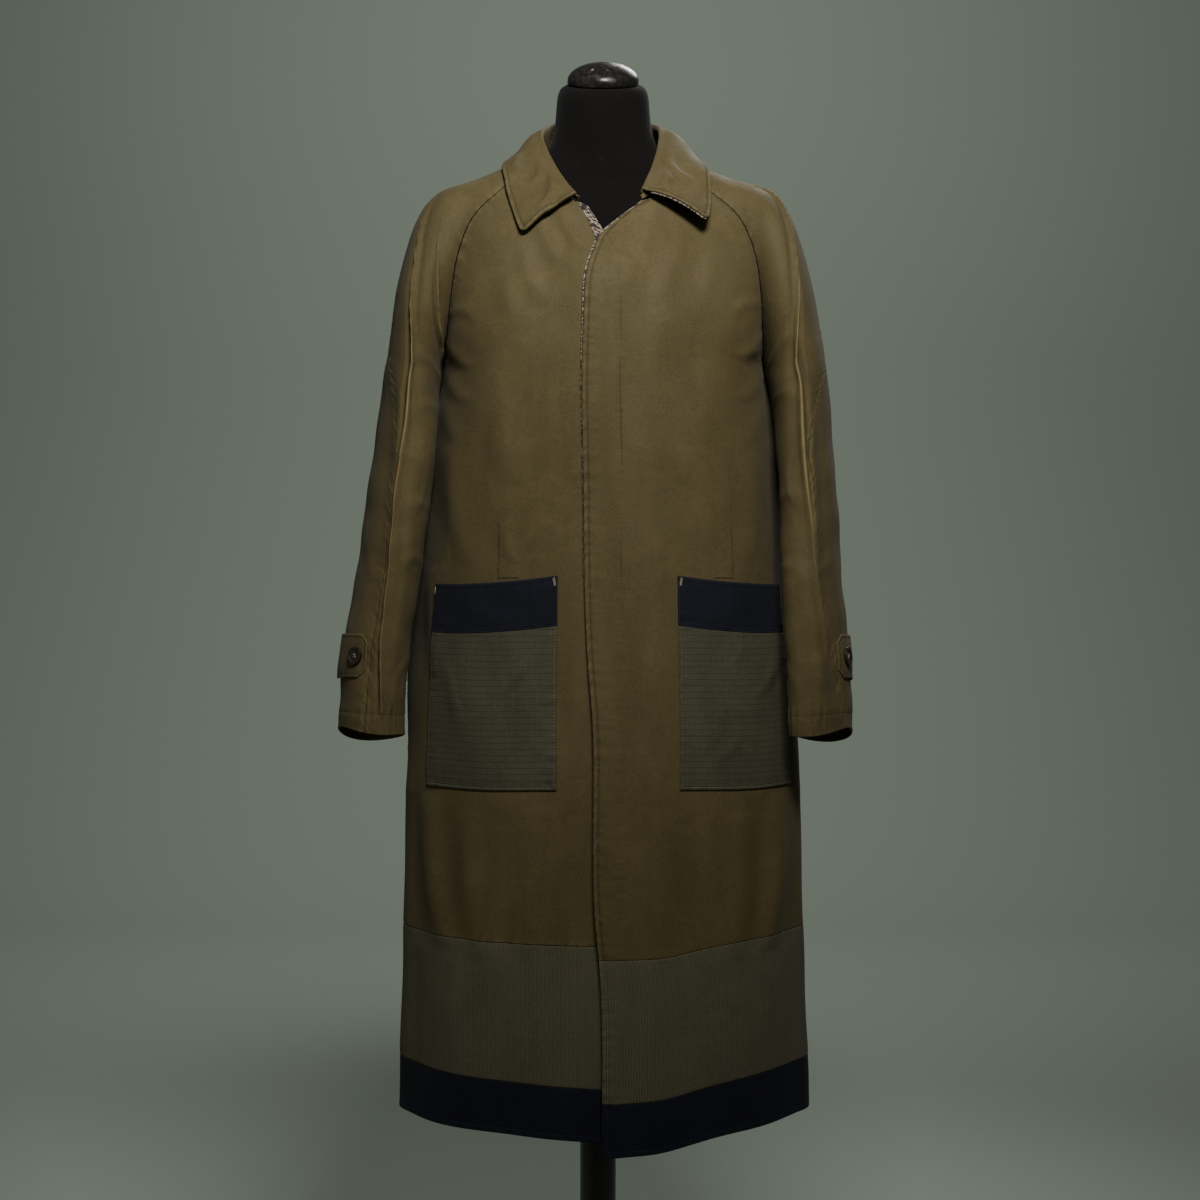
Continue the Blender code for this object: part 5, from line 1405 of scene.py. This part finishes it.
def make_back():
    """The back of three cloths in one piece from side seam to side seam."""
    share = places(0.25)
    half = len(share)
    part = np.concatenate([0.5 - share[::-1] / 2, 0.5 + share[1:] / 2])
    lower = back_part(ARM_Z, 0, part)[0]
    rows = np.linspace(0, 1, steps(0.30))
    centre = table(SHOULDER, rows)
    start = np.stack([np.zeros(len(rows)), centre[:, 0], centre[:, 1]], -1)
    left = upper_grid(SHOULDER, rows, share, 1, start, lower[0, :half][::-1])
    right = upper_grid(SHOULDER, rows, share, -1, start, lower[0, half - 1:])
    upper = np.concatenate([left[:, ::-1], right[:, 1:]], axis=1)
    points = eased(np.concatenate([upper[:0:-1], lower]), len(upper) - 1, np.abs(2 * part - 1))
    normals = grid_normals(points, -1)
    points = points + normals * side_fill(points)[..., None]
    points = draped(points, normals, back_relief(points), ["near", "far", "top"])
    add_panel("back", points, normals, "khaki", ["near", "far", "foot"], seed=4.0)
    for which, suffix, slot in ((0, "_panel", "olive"), (1, "_hem", "navy")):
        points, normals = back_part(which, which + 1, part)
        points = draped(points, normals, back_relief(points), ["near", "far"])
        edges = ["top", "foot", "near", "far"] if which == 0 else ["top", "near", "far"]
        add_panel("back" + suffix, points, normals, slot, edges, ["foot"] if which else (),
                  strength=0.8, seed=5.0 + which)


def sleeve_surface(row, turn, side):
    """Outside points and normals of a sleeve with its creases."""
    points, normals = arm_wall(row, turn, side)
    relief = 0.35 * ridges(SLEEVE_FOLDS[side], row, turn, (ROW_METRES, TURN_METRES))
    relief = relief + 1.3 * creases(CREASES[side], row, turn)
    low = np.clip(-row, 0, SLEEVE_END)
    relief = relief + 0.0008 * np.sin(row * 7.3 + 5 * turn) * np.sin(turn * 9.1 - 2 * row + side)
    fade = blend(0.0, 0.07, turn) * blend(0.0, 0.07, 2 - turn)
    cuff = 0.0011 * ripple(turn * TURN_METRES, 3.0 + side, 0.011)
    cuff = cuff * (bump(low, CUFF_ROW, 0.16) + 0.5 * bump(low, SLEEVE_END, 0.08))
    dip = 0.0006 * bump(low, CUFF_ROW, 0.025)
    fill = spline(INNER_FILL[side][:, 0], INNER_FILL[side][:, 1:], row)[..., 0]
    relief = sizes().folds * relief * fade * blend(1.0, 0.93, row) + cuff - dip
    relief = relief + fill * bump(turn, 0.30, 0.22) * fade
    points = points + normals * relief[..., None]
    hem = 0.006 * bump(turn, 0.95, 0.22) - 0.004 * bump(turn, 0.45, 0.30) - 0.009 * bump(turn, 1.5, 0.4)
    points[..., 2] += hem * blend(4.9, SLEEVE_END, low)
    return points, normals


def make_sleeve(side, name):
    """A raglan sleeve of a front and a back piece, joined along the outside of the arm."""
    rows = np.concatenate([1 - places(0.28)[:-1], -SLEEVE_END * places(0.45)])
    seam = seam_turn(rows, side)[:, None]
    front, back = places(0.230), places(0.200)
    for suffix, turns in (("_front", front * seam), ("_back", seam + (2 - seam) * back)):
        row_grid = np.broadcast_to(rows[:, None], turns.shape)
        points, normals = sleeve_surface(row_grid, turns, side)
        low = np.clip(-row_grid, 0, SLEEVE_END)
        cuff = np.stack([np.abs(low - CUFF_ROW) * ROW_METRES + sizes().inset, turns * TURN_METRES,
                         np.ones(turns.shape)], -1)
        # Fold carries the creases to the finish, for their painted highlight and shade.
        add_panel(name + suffix, points, normals, "khaki", ["near", "far"], strength=0.45,
                  seed=7.0 + side + len(suffix), Line=cuff,
                  Fold=crease_field(CREASES[side], row_grid, turns))
# ---- collar -------------------------------------------------------------------------------
def neck_line(part, side):
    """The neck seam from the back (0) over the sleeve's top to the front corner (1)."""
    top = np.ones_like(part)
    centre = table(SHOULDER, top)
    behind = upper_row(SHOULDER, top, np.stack([0 * top, centre[:, 0], centre[:, 1]], -1), side,
                       np.clip(part / 0.40, 0, 1))
    over = arm_ring(top, 2 - 2 * np.clip((part - 0.40) / 0.20, 0, 1), side)
    front = upper_row(CHEST, top, chest_start(top, side), side, 1 - np.clip((part - 0.60) / 0.40, 0, 1))
    line = np.where((part < 0.40)[:, None], behind, over)
    return np.where((part > 0.60)[:, None], front, line)


def collar_rows(part, side):
    """Outside points of the collar: up the inside of the stand, over the fold, down the leaf."""
    values = table(COLLAR[side], part)
    flip = np.array([side, 1, 1])
    fold, edge = values[:, 0:3] * flip, values[:, 3:6] * flip
    fold = fold + np.array([0, 0, 0.005]) * (1 - blend(0.30, 0.60, part))[:, None]
    seam = neck_line(part, side) + np.array([0, 0, 0.0018])
    fall = edge - fold
    length = np.linalg.norm(fall, axis=1, keepdims=True)
    out = unit(fall * np.array([1, 1, 0]))
    seam = seam - out * 0.0022
    rows = [seam, seam * 0.45 + fold * 0.55 - out * 0.0022, fold - out * 0.0020 - [0, 0, 0.004],
            fold, fold + out * 0.0034 - [0, 0, 0.0022]]
    belly = values[:, 6:7] * np.array([0, 0, 1]) + out * values[:, 6:7] * 0.55
    start = rows[-1]
    for share in (0.12, 0.28, 0.46, 0.64, 0.82, 1.0):
        bulge = 4 * share * (1 - share) * (1 - 0.35 * share)
        rows.append(start + (edge - start) * share + belly * bulge * np.minimum(length / 0.075, 1))
    return np.stack(rows)


COLLAR_ROW_PLACES = np.array([0, 0.36, 0.44, 0.48, 0.52, 0.58, 0.655, 0.74, 0.825, 0.91, 1.0])
LEAF_FROM = 0.53


def neighbours(values):
    """Each value of a grid and the eight round it."""
    wide = np.pad(values, [(1, 1), (1, 1)] + [(0, 0)] * (values.ndim - 2), mode="edge")
    rows, columns = values.shape[:2]
    return np.stack([wide[row:row + rows, column:column + columns]
                     for row in range(3) for column in range(3)])


def rest_on(points, tree, distance, passes=4):
    """Lift points that lie nearer to the cloth below than this distance."""
    flat = points.reshape(-1, 3).copy()
    for _ in range(passes):
        for index, point in enumerate(flat):
            place, normal = tree.find_nearest(Vector(point))[:2]
            short = distance - (Vector(point) - place).dot(normal)
            if normal.z > -0.2 and short > 0:
                flat[index] += np.array(normal) * short
    lift = flat.reshape(points.shape) - points
    height = np.linalg.norm(lift, axis=-1)
    for _ in range(2):
        height = neighbours(height).max(axis=0)
    for _ in range(4):
        lift, height = neighbours(lift).mean(axis=0), neighbours(height).mean(axis=0)
    return points + unit(lift + [0, 0, 1e-7]) * height[..., None]


def make_collar():
    """The collar's khaki leaf and stand, and the tweed under the leaf."""
    part = 1 - places(0.29)[::-1]
    down = places(0.13)
    halves = {side: spline(COLLAR_ROW_PLACES, collar_rows(part, side), down) for side in (-1, 1)}
    points = np.concatenate([halves[-1][:, :0:-1], halves[1]], axis=1)
    names = ("front_left", "front_right", "back", "sleeve_left_front", "sleeve_left_back",
             "sleeve_right_front", "sleeve_right_back")
    coat = outside_of([bpy.data.objects["coat_" + each] for each in names])
    shift = np.array([COAT_X, 0, 0])
    leaf = down > LEAF_FROM
    points = round_corners(points, 0.010)
    points[leaf] = rest_on(points[leaf] + shift, coat, LEAF + sizes().thin + 3 * GAP) - shift
    normals = grid_normals(points)
    whole = np.concatenate([-part[:0:-1], part])
    share = np.clip((down - LEAF_FROM) / (1 - LEAF_FROM), 0, 1)[:, None] * np.ones_like(whole)
    relief = np.zeros(points.shape[:2])
    for side in (-1, 1):
        where = whole * side >= 0
        relief[:, where] = ridges(COLLAR_FOLDS[side], np.abs(whole[where]) * np.ones((len(down), 1)),
                                  share[:, where], (0.27, 0.075))
    points = points + normals * (2.4 * relief * leaf[:, None] * sizes().folds)[..., None]
    add_panel("collar", points, normals, "khaki", ["near", "far", "foot"], ["near", "far", "foot"],
                     thickness=LEAF, strength=0.5, seed=2.0, rests_on=("coat_front_left", "coat_back"))
    under = points[leaf] - normals[leaf] * (LEAF + 0.0002)
    under[-1] -= unit(under[-1] - under[-2]) * 0.0006
    under[:, 0] -= unit(under[:, 0] - under[:, 1]) * 0.0006
    under[:, -1] += unit(under[:, -1] - under[:, -2]) * TWEED_ROLL
    item = cloth("coat_under_collar", under, normals[leaf], sizes().thin, wool_tweed(), cloth_uv(under))
    finish(item, "under_collar")


# ---- what lies on the panels --------------------------------------------------------------
def quarter_length(height):
    """Length of the front quarter of the body's section."""
    turns = np.linspace(0, 1, 60)
    points = body_point(turns, np.full(60, height))
    return np.linalg.norm(np.diff(points, axis=0), axis=1).sum()


def on_front(side, near, heights, lift):
    """Points on a front panel: near is the distance along the cloth from the centre front."""
    spans = np.interp(heights, [0.8, 1.2], [quarter_length(0.8), quarter_length(1.2)])
    turns = (CENTRE_X + side * near) / spans
    points, normals = body_wall(turns, heights)
    points = points + normals * front_lift(points, side)[..., None]
    relief = front_relief(points, side)
    return points + normals * (relief + lift)[..., None], normals


def make_pocket(side, name):
    """A ripstop patch pocket with its navy band, and the welt over it."""
    wide = places(POCKET_WIDE)
    out = POCKET_NEAR + POCKET_WIDE * wide
    mouth = POCKET_TOP + POCKET_SLOPE * POCKET_WIDE * wide - 0.004 * np.sin(math.pi * wide)
    join = mouth - BAND_DEEP
    foot = POCKET_FOOT - 0.0016 * np.sin(math.pi * wide) ** 2
    thin = sizes().thin
    full_wide = np.sin(math.pi * wide)
    for top, low, node, slot, edges in (
            (join, foot, "pocket_", "ripstop", ["near", "far", "foot"]),
            (mouth, join, "pocket_band_", "navy", ["near", "far", "top", "foot"])):
        share = places((top - low).mean())[:, None]
        heights = top * (1 - share) + low * share
        near = np.broadcast_to(out, heights.shape)
        band = slot == "navy"
        points, normals = on_front(side, near, heights, thin + (0.0012 if band else 0.0007))
        full = share * np.ones_like(wide)
        belly = 0.0022 * full_wide ** 1.2 * (1 if band else np.sin(math.pi * (0.5 + 0.5 * full)) ** 0.8)
        slack = 0.0018 * full_wide ** 1.5 * (1 - full) ** 2 if band else 0
        sag = 0.0009 * np.sin(wide * 11 + 4 * full + side) * np.sin(math.pi * wide)
        place = wide if side > 0 else 1 - wide
        crease = ridges(POCKET_CREASES, place * np.ones_like(share), full, (POCKET_WIDE, 0.18))
        lift = belly + slack + (sag + (0 if band else crease)) * np.sin(math.pi * full)
        add_panel(node + name, points + normals * lift[..., None], normals, slot, edges, edges,
                  thickness=thin, strength=0.75, seed=9.0 + side, shift=0.0048 if band else 0.003,
                  rests_on=["coat_front_" + name])
    slope = np.linspace(0, 1, steps(WELT_WIDE) + 4)
    top = WELT_TOP + WELT_SLOPE * WELT_WIDE * slope
    low = np.full_like(top, POCKET_TOP + POCKET_SLOPE * WELT_NEAR + 0.003)
    share = np.linspace(0, 1, steps(0.056) + 14)[:, None]
    heights = top * (1 - share) + low * share
    near = np.broadcast_to(WELT_NEAR + WELT_WIDE * slope, heights.shape)
    flat = 0.0004
    points, normals = on_front(side, near, heights, flat + 0.0001)
    line = seam_vectors(points, ["near", "far"], 0.25, 0.0045)
    add_panel("welt_" + name, points, normals, "khaki", ["near", "far"], ["top"], thickness=flat,
              strength=0.15, shift=0.0048, rests_on=["coat_front_" + name], Line=line)


# Soft creases of a patch pocket, from its inner top corner (0, 0) to its outer foot (1, 1)
POCKET_CREASES = np.array([
    (0.92, 0.05, 0.55, 0.42, 0.006, 0.0060, 0.0016),
    (0.80, 0.02, 0.68, 0.30, 0.004, 0.0050, 0.0012),
    (0.12, 0.10, 0.30, 0.60, 0.006, 0.0070, 0.0012),
    (0.10, 0.95, 0.45, 0.62, -0.005, 0.0070, 0.0012)])


def make_tab(side, name):
    """A cuff tab with cut corners, sewn at the back of the sleeve and held by its button."""
    middle = sum(TAB_ROWS) / 2
    seam = float(seam_turn(np.array([middle]), side)[0])
    part = np.linspace(0, 1, steps(TAB_ROUND * TURN_METRES) + 12)
    turns = seam + TAB_FROM + TAB_ROUND * part
    half = (TAB_ROWS[0] - TAB_ROWS[1]) / 2 * np.interp(part, [0, 0.15, 1], [0.60, 1.0, 1.0])
    share = np.linspace(1, -1, steps(0.056) + 8)[:, None]
    rows = middle + share * half
    points, normals = sleeve_surface(rows, np.broadcast_to(turns, rows.shape), side)
    lift = sizes().thin + TAB_LIFT + 0.0020 * blend(0.35, 0.9, part)
    points = points + normals * lift[:, None]
    add_panel("tab_" + name, points, normals, "khaki", ["top", "foot", "near"],
              ["top", "foot", "near"], thickness=sizes().thin, strength=0.25, shift=0.002,
              rests_on=["coat_sleeve_" + name + "_back"])


def only(item):
    """Deselect all and make one object the active and selected one."""
    if bpy.context.object and bpy.context.object.mode != "OBJECT":
        bpy.ops.object.mode_set(mode="OBJECT")
    bpy.ops.object.select_all(action="DESELECT")
    item.select_set(True)
    bpy.context.view_layer.objects.active = item


def pick_faces(item, test):
    """Select an active object's faces by a test of their centre, and enter edit mode."""
    bpy.ops.object.mode_set(mode="EDIT")
    bpy.ops.mesh.select_mode(type="FACE")
    bpy.ops.mesh.select_all(action="DESELECT")
    bpy.ops.object.mode_set(mode="OBJECT")
    for polygon in item.data.polygons:
        polygon.select = bool(test(polygon.center, polygon.normal))
    bpy.ops.object.mode_set(mode="EDIT")


def apply_place(item):
    only(item)
    bpy.ops.object.transform_apply(location=True, rotation=True, scale=True)


# ---- buttons, form and stand --------------------------------------------------------------
def solid(kind, **settings):
    """Add one of the primitive meshes, alone in the selection."""
    bpy.ops.object.select_all(action="DESELECT")
    getattr(bpy.ops.mesh, "primitive_" + kind + "_add")(**settings)
    return bpy.context.object


def join_all(items):
    """Join pieces into the first one and hand it back."""
    bpy.ops.object.select_all(action="DESELECT")
    for item in items:
        item.select_set(True)
    bpy.context.view_layer.objects.active = items[0]
    bpy.ops.object.join()
    return items[0]


def put(item, name, node, material):
    """Name a hard piece, tie it to its node and give it its finish."""
    item.name = name
    item.data.name = name
    item.data.materials.clear()
    item.data.materials.append(material)
    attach(item, "root")
    if node:
        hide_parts(node)


def round_edges(item, width, segments, sharp, smooth):
    """Bevel an active piece's edges over one angle and shade it smooth up to another."""
    soft = item.modifiers.new("edges", "BEVEL")
    soft.width, soft.segments, soft.limit_method = width, segments, "ANGLE"
    soft.angle_limit = math.radians(sharp)
    bpy.ops.object.modifier_apply(modifier=soft.name)
    bpy.ops.object.shade_smooth_by_angle(angle=math.radians(smooth))


def strand(segments, rings, scale, turn, place):
    """One stitch of thick thread."""
    item = solid("uv_sphere", segments=segments, ring_count=rings, radius=1.0)
    item.scale, item.rotation_euler, item.location = scale, turn, place
    apply_place(item)
    return item


def one_thread(strands):
    """Join stitches into one smooth piece."""
    thread = join_all(strands)
    only(thread)
    bpy.ops.object.shade_smooth()
    return thread


def set_against(item, place, out):
    """Turn a piece made about the origin so its Z looks out, put it in place and apply that."""
    item.rotation_euler = Vector(out).to_track_quat("Z", "Y").to_euler()
    item.location = Vector(place) + Vector((COAT_X, 0, 0))
    apply_place(item)


def make_button(side, name):
    """A turned four-hole horn button and the thread crossed through its holes."""
    radius, thick = BUTTON_RADIUS, BUTTON_THICK
    middle = sum(TAB_ROWS) / 2
    seam = float(seam_turn(np.array([middle]), side)[0])
    turn = seam + TAB_FROM + TAB_ROUND * BUTTON_AT
    centre, out = sleeve_surface(np.array([[middle]]), np.array([[turn]]), side)
    centre, out = centre[0, 0], out[0, 0]
    item = solid("cylinder", vertices=64, radius=radius, depth=thick, location=(0, 0, thick / 2))
    only(item)
    bpy.ops.object.transform_apply(location=True, rotation=False, scale=False)
    pick_faces(item, lambda centre, normal: normal.z > 0.9)
    bpy.ops.mesh.inset(thickness=radius * 0.24)
    bpy.ops.mesh.inset(thickness=radius * 0.10)
    bpy.ops.transform.translate(value=(0, 0, -thick * 0.30))
    bpy.ops.mesh.inset(thickness=radius * 0.30)
    bpy.ops.transform.translate(value=(0, 0, -thick * 0.06))
    bpy.ops.object.mode_set(mode="OBJECT")
    drill = join_all([solid("cylinder", vertices=20, radius=HOLE_RADIUS, depth=4 * thick,
                            location=(x * HOLE_OUT, y * HOLE_OUT, 0))
                      for x in (1, -1) for y in (1, -1)])
    only(item)
    cut = item.modifiers.new("holes", "BOOLEAN")
    cut.operation, cut.object = "DIFFERENCE", drill
    bpy.ops.object.modifier_apply(modifier=cut.name)
    bpy.data.objects.remove(drill)
    only(item)
    round_edges(item, 0.00035, 3, 35, 50)
    seat = centre + out * (sizes().thin + TAB_LIFT + sizes().thin * 0.1)
    set_against(item, seat, out)
    put(item, "coat_button_" + name, "button_" + name, polished_horn())
    thread = one_thread([
        strand(16, 12, (HOLE_OUT * 1.75, 0.00045, 0.0008), (0, 0, way * math.pi / 4),
               (-way * shift * 0.7, shift * 0.7, thick * 0.66 + 0.0002 * way))
        for way in (1, -1) for shift in (-0.00035, 0.00035)])
    set_against(thread, seat, out)
    put(thread, "coat_button_thread_" + name, None, sewing_thread())


def make_bar_tacks():
    """Cream bar tacks at the top corners of each patch pocket."""
    for side, name in ((1, "left"), (-1, "right")):
        strands = []
        for near, drop, length, lean in ((0.0028, 0.0065, 0.0052, 0.10), (0.0042, 0.0070, 0.0048, 0.16),
                                         (POCKET_WIDE - 0.003, 0.0080, 0.0045, -0.10)):
            height = POCKET_TOP + POCKET_SLOPE * near - drop
            at, out = on_front(side, np.array([[POCKET_NEAR + near]]), np.array([[height]]),
                               sizes().thin * 2 + 0.0008)
            middle = Vector(at[0, 0]) + Vector((COAT_X, 0, 0)) + Vector(out[0, 0]) * 0.0003
            strands.append(strand(14, 16, (0.0007, 0.0005, length), (0, lean * side, 0), middle))
        put(one_thread(strands), "coat_bar_tacks_" + name, None, sewing_thread())


def copy_of_node(name):
    """A copy of a frame node's mesh with its triangles merged."""
    source = bpy.data.objects[name]
    item = bpy.data.objects.new("coat_" + name, source.data.copy())
    bpy.context.collection.objects.link(item)
    only(item)
    bpy.ops.object.mode_set(mode="EDIT")
    bpy.ops.mesh.select_all(action="SELECT")
    bpy.ops.mesh.remove_doubles(threshold=0.00001)
    bpy.ops.mesh.tris_convert_to_quads(face_threshold=math.radians(60),
                                       shape_threshold=math.radians(60))
    bpy.ops.mesh.normals_make_consistent(inside=False)
    bpy.ops.object.mode_set(mode="OBJECT")
    return item


def make_form():
    """The form's torso and neck, smoothed from the frame's rings."""
    item = copy_of_node("form_body")
    smooth = item.modifiers.new("smooth", "SUBSURF")
    smooth.levels = smooth.render_levels = 2
    only(item)
    bpy.ops.object.modifier_apply(modifier=smooth.name)
    bpy.ops.object.shade_smooth()
    put(item, "coat_form_body", "form_body", black_jersey())


def make_cap():
    """The gloss dome on the form's slanted neck, with a rounded lip and a low finial seat."""
    item = solid("uv_sphere", segments=96, ring_count=48, radius=CAP_RADIUS)
    only(item)
    bpy.ops.object.mode_set(mode="EDIT")
    bpy.ops.mesh.select_all(action="SELECT")
    bpy.ops.mesh.bisect(plane_co=(0, 0, 0.0001), plane_no=(0, 0, 1), clear_inner=True, use_fill=True)
    bpy.ops.mesh.select_all(action="SELECT")
    bpy.ops.transform.resize(value=(1, 1, (CAP_HIGH - CAP_LIP) / CAP_RADIUS),
                             center_override=(0, 0, 0))
    bpy.ops.object.mode_set(mode="OBJECT")
    pick_faces(item, lambda centre, normal: normal.z < -0.9)
    bpy.ops.mesh.extrude_region_move(TRANSFORM_OT_translate={"value": (0, 0, -CAP_LIP * 0.6)})
    bpy.ops.mesh.inset(thickness=CAP_RADIUS * 0.03)
    bpy.ops.transform.translate(value=(0, 0, -CAP_LIP * 0.4))
    bpy.ops.object.mode_set(mode="OBJECT")
    round_edges(item, 0.0008, 3, 25, 45)
    item.location = (COAT_X, 0, FORM[-1, 0] + GAP + CAP_LIP)
    item.rotation_euler = (math.atan(NECK_SLANT), 0, 0)
    apply_place(item)
    put(item, "coat_form_cap", "form_cap", black_lacquer())


def make_rod(name, radius, low, high, around, test, offset, segments, smooth):
    """An upright round piece with the edges of the faces that pass a test rounded."""
    item = solid("cylinder", vertices=around, radius=radius, depth=high - low,
                 location=(0, 0, (low + high) / 2))
    apply_place(item)
    pick_faces(item, test)
    bpy.ops.mesh.bevel(offset=offset, segments=segments)
    bpy.ops.object.mode_set(mode="OBJECT")
    bpy.ops.object.shade_smooth_by_angle(angle=math.radians(smooth))
    put(item, "coat_" + name, name, painted_iron())


def make_pole_and_base():
    """The steel pole and the round base with a rounded edge."""
    make_rod("form_pole", POLE_RADIUS, BASE_THICK + GAP, FORM[0, 0] - GAP, 96,
             lambda centre, normal: abs(normal.z) > 0.9, 0.0015, 3, 40)
    make_rod("form_base", BASE_RADIUS, 0, BASE_THICK, 160,
             lambda centre, normal: normal.z > 0.9, 0.003, 5, 30)


# ---- the stage ----------------------------------------------------------------------------
CAMERA_PLACE, CAMERA_LENS = (0.0024, -2.5, 1.02), 63.0
FLOOR_GREY = (0.41, 0.48, 0.40)
# Lamps: name, place, target, width, height, spread and watts
LAMPS = (
    ("key", (0.22, -1.55, 2.50), (0.0, 0.0, 1.44), 0.6, 0.45, 70, 8.2),
    ("side", (-2.7, -1.8, 1.7), (0.0, 0.0, 1.10), 1.2, 1.6, 120, 2.0),
    ("rear", (0.9, 2.3, 3.3), (0.0, 0.0, 1.2), 1.2, 0.8, 80, 9.0),
    ("back", (0.0, 2.4, 3.6), (0.0, 6.0, 2.2), 3.0, 1.4, 180, 50.0))
AMBIENT, AMBIENT_COLOUR = 0.075, (0.95, 0.93, 0.87, 1)


def pick_edges(item, test):
    """Select a mesh's edges by a test of both ends, and enter edit mode."""
    bpy.ops.object.mode_set(mode="EDIT")
    bpy.ops.mesh.select_mode(type="EDGE")
    bpy.ops.mesh.select_all(action="DESELECT")
    bpy.ops.object.mode_set(mode="OBJECT")
    for edge in item.data.edges:
        edge.select = all(test(item.data.vertices[corner].co) for corner in edge.vertices)
    bpy.ops.object.mode_set(mode="EDIT")


def make_stage():
    """A plain pale floor that curves up behind, soft lamps, and the camera."""
    floor = solid("plane", size=28.0, location=(0, -8.0, 0))
    only(floor)
    pick_edges(floor, lambda corner: corner.y > 1)
    bpy.ops.mesh.extrude_region_move(TRANSFORM_OT_translate={"value": (0, 0, 5.0)})
    pick_edges(floor, lambda corner: corner.y > 1 and corner.z < 0.1)
    bpy.ops.mesh.bevel(offset=2.0, segments=16)
    bpy.ops.object.mode_set(mode="OBJECT")
    bpy.ops.object.shade_smooth_by_angle(angle=math.radians(30))
    floor.name = "stage_floor"
    paper = bpy.data.materials.new("Pale paper")
    paper.use_nodes = True
    shader = paper.node_tree.nodes["Principled BSDF"]
    shader.inputs["Base Color"].default_value = (*FLOOR_GREY, 1)
    shader.inputs["Roughness"].default_value = 0.95
    floor.data.materials.append(paper)
    for name, place, target, width, height, spread, watts in LAMPS:
        lamp = bpy.data.lights.new("lamp_" + name, "AREA")
        lamp.shape, lamp.size, lamp.size_y, lamp.energy = "RECTANGLE", width, height, watts
        lamp.spread = math.radians(spread)
        item = bpy.data.objects.new("lamp_" + name, lamp)
        item.location = place
        way = Vector(target) - Vector(place)
        item.rotation_euler = way.to_track_quat("-Z", "Y").to_euler()
        bpy.context.collection.objects.link(item)
    world = bpy.data.worlds.new("Soft studio")
    world.use_nodes = True
    background = world.node_tree.nodes["Background"]
    background.inputs["Color"].default_value = AMBIENT_COLOUR
    background.inputs["Strength"].default_value = AMBIENT
    bpy.context.scene.world = world
    lens = bpy.data.cameras.new("Camera")
    lens.lens, lens.sensor_width = CAMERA_LENS, 36.0
    camera = bpy.data.objects.new("Camera", lens)
    camera.location = CAMERA_PLACE
    camera.rotation_euler = (math.radians(90), 0, 0)
    bpy.context.collection.objects.link(camera)
    bpy.context.scene.camera = camera


# ---- operators ----------------------------------------------------------------------------
class COAT_OT_stage(bpy.types.Operator):
    """Make the floor, the lamps and the camera"""
    bl_idname = "coat.stage"
    bl_label = "Stage"

    def execute(self, context):
        make_stage()
        return {"FINISHED"}


class COAT_OT_fronts(bpy.types.Operator):
    """Make both fronts with their lower cloths and tweed edges"""
    bl_idname = "coat.fronts"
    bl_label = "Fronts"

    def execute(self, context):
        make_front(1, "front_left")
        make_front(-1, "front_right")
        return {"FINISHED"}


class COAT_OT_back(bpy.types.Operator):
    """Make the back with its lower cloths"""
    bl_idname = "coat.back"
    bl_label = "Back"

    def execute(self, context):
        make_back()
        return {"FINISHED"}


class COAT_OT_sleeves(bpy.types.Operator):
    """Make both raglan sleeves"""
    bl_idname = "coat.sleeves"
    bl_label = "Sleeves"

    def execute(self, context):
        make_sleeve(1, "sleeve_left")
        make_sleeve(-1, "sleeve_right")
        return {"FINISHED"}


class COAT_OT_collar(bpy.types.Operator):
    """Make the collar and the tweed under it"""
    bl_idname = "coat.collar"
    bl_label = "Collar"

    def execute(self, context):
        make_collar()
        return {"FINISHED"}


class COAT_OT_pockets(bpy.types.Operator):
    """Make the patch pockets, their bands, bar tacks and the welts"""
    bl_idname = "coat.pockets"
    bl_label = "Pockets"

    def execute(self, context):
        make_pocket(1, "left")
        make_pocket(-1, "right")
        make_bar_tacks()
        return {"FINISHED"}


class COAT_OT_cuffs(bpy.types.Operator):
    """Make the cuff tabs and their buttons"""
    bl_idname = "coat.cuffs"
    bl_label = "Cuff tabs"

    def execute(self, context):
        for side, name in ((1, "left"), (-1, "right")):
            make_tab(side, name)
            make_button(side, name)
        return {"FINISHED"}


class COAT_OT_form(bpy.types.Operator):
    """Make the dress form, its cap, pole and base"""
    bl_idname = "coat.form"
    bl_label = "Dress form"

    def execute(self, context):
        make_form()
        make_cap()
        make_pole_and_base()
        return {"FINISHED"}


OPERATORS = (COAT_OT_stage, COAT_OT_fronts, COAT_OT_back, COAT_OT_sleeves, COAT_OT_collar,
             COAT_OT_pockets, COAT_OT_cuffs, COAT_OT_form)


class COAT_PT_panel(bpy.types.Panel):
    """Sizes, colours and the pieces of the coat"""
    bl_idname = "COAT_PT_panel"
    bl_label = "Raglan coat"
    bl_space_type = "VIEW_3D"
    bl_region_type = "UI"
    bl_category = "Coat"

    def draw(self, context):
        layout = self.layout
        for group in (context.scene.coat_sizes, context.scene.coat_colours):
            box = layout.box()
            for name in group.bl_rna.properties.keys():
                if name not in ("rna_type", "name"):
                    box.prop(group, name)
        for operator in OPERATORS:
            layout.operator(operator.bl_idname)


CLASSES = (CoatSizes, CoatColours, *OPERATORS, COAT_PT_panel)


def register():
    for each in CLASSES:
        bpy.utils.register_class(each)
    bpy.types.Scene.coat_sizes = PointerProperty(type=CoatSizes)
    bpy.types.Scene.coat_colours = PointerProperty(type=CoatColours)


def unregister():
    del bpy.types.Scene.coat_colours
    del bpy.types.Scene.coat_sizes
    for each in reversed(CLASSES):
        bpy.utils.unregister_class(each)


def main():
    register()
    for operator in OPERATORS:
        group, name = operator.bl_idname.split(".")
        getattr(getattr(bpy.ops, group), name)()


if __name__ == "__main__":
    main()
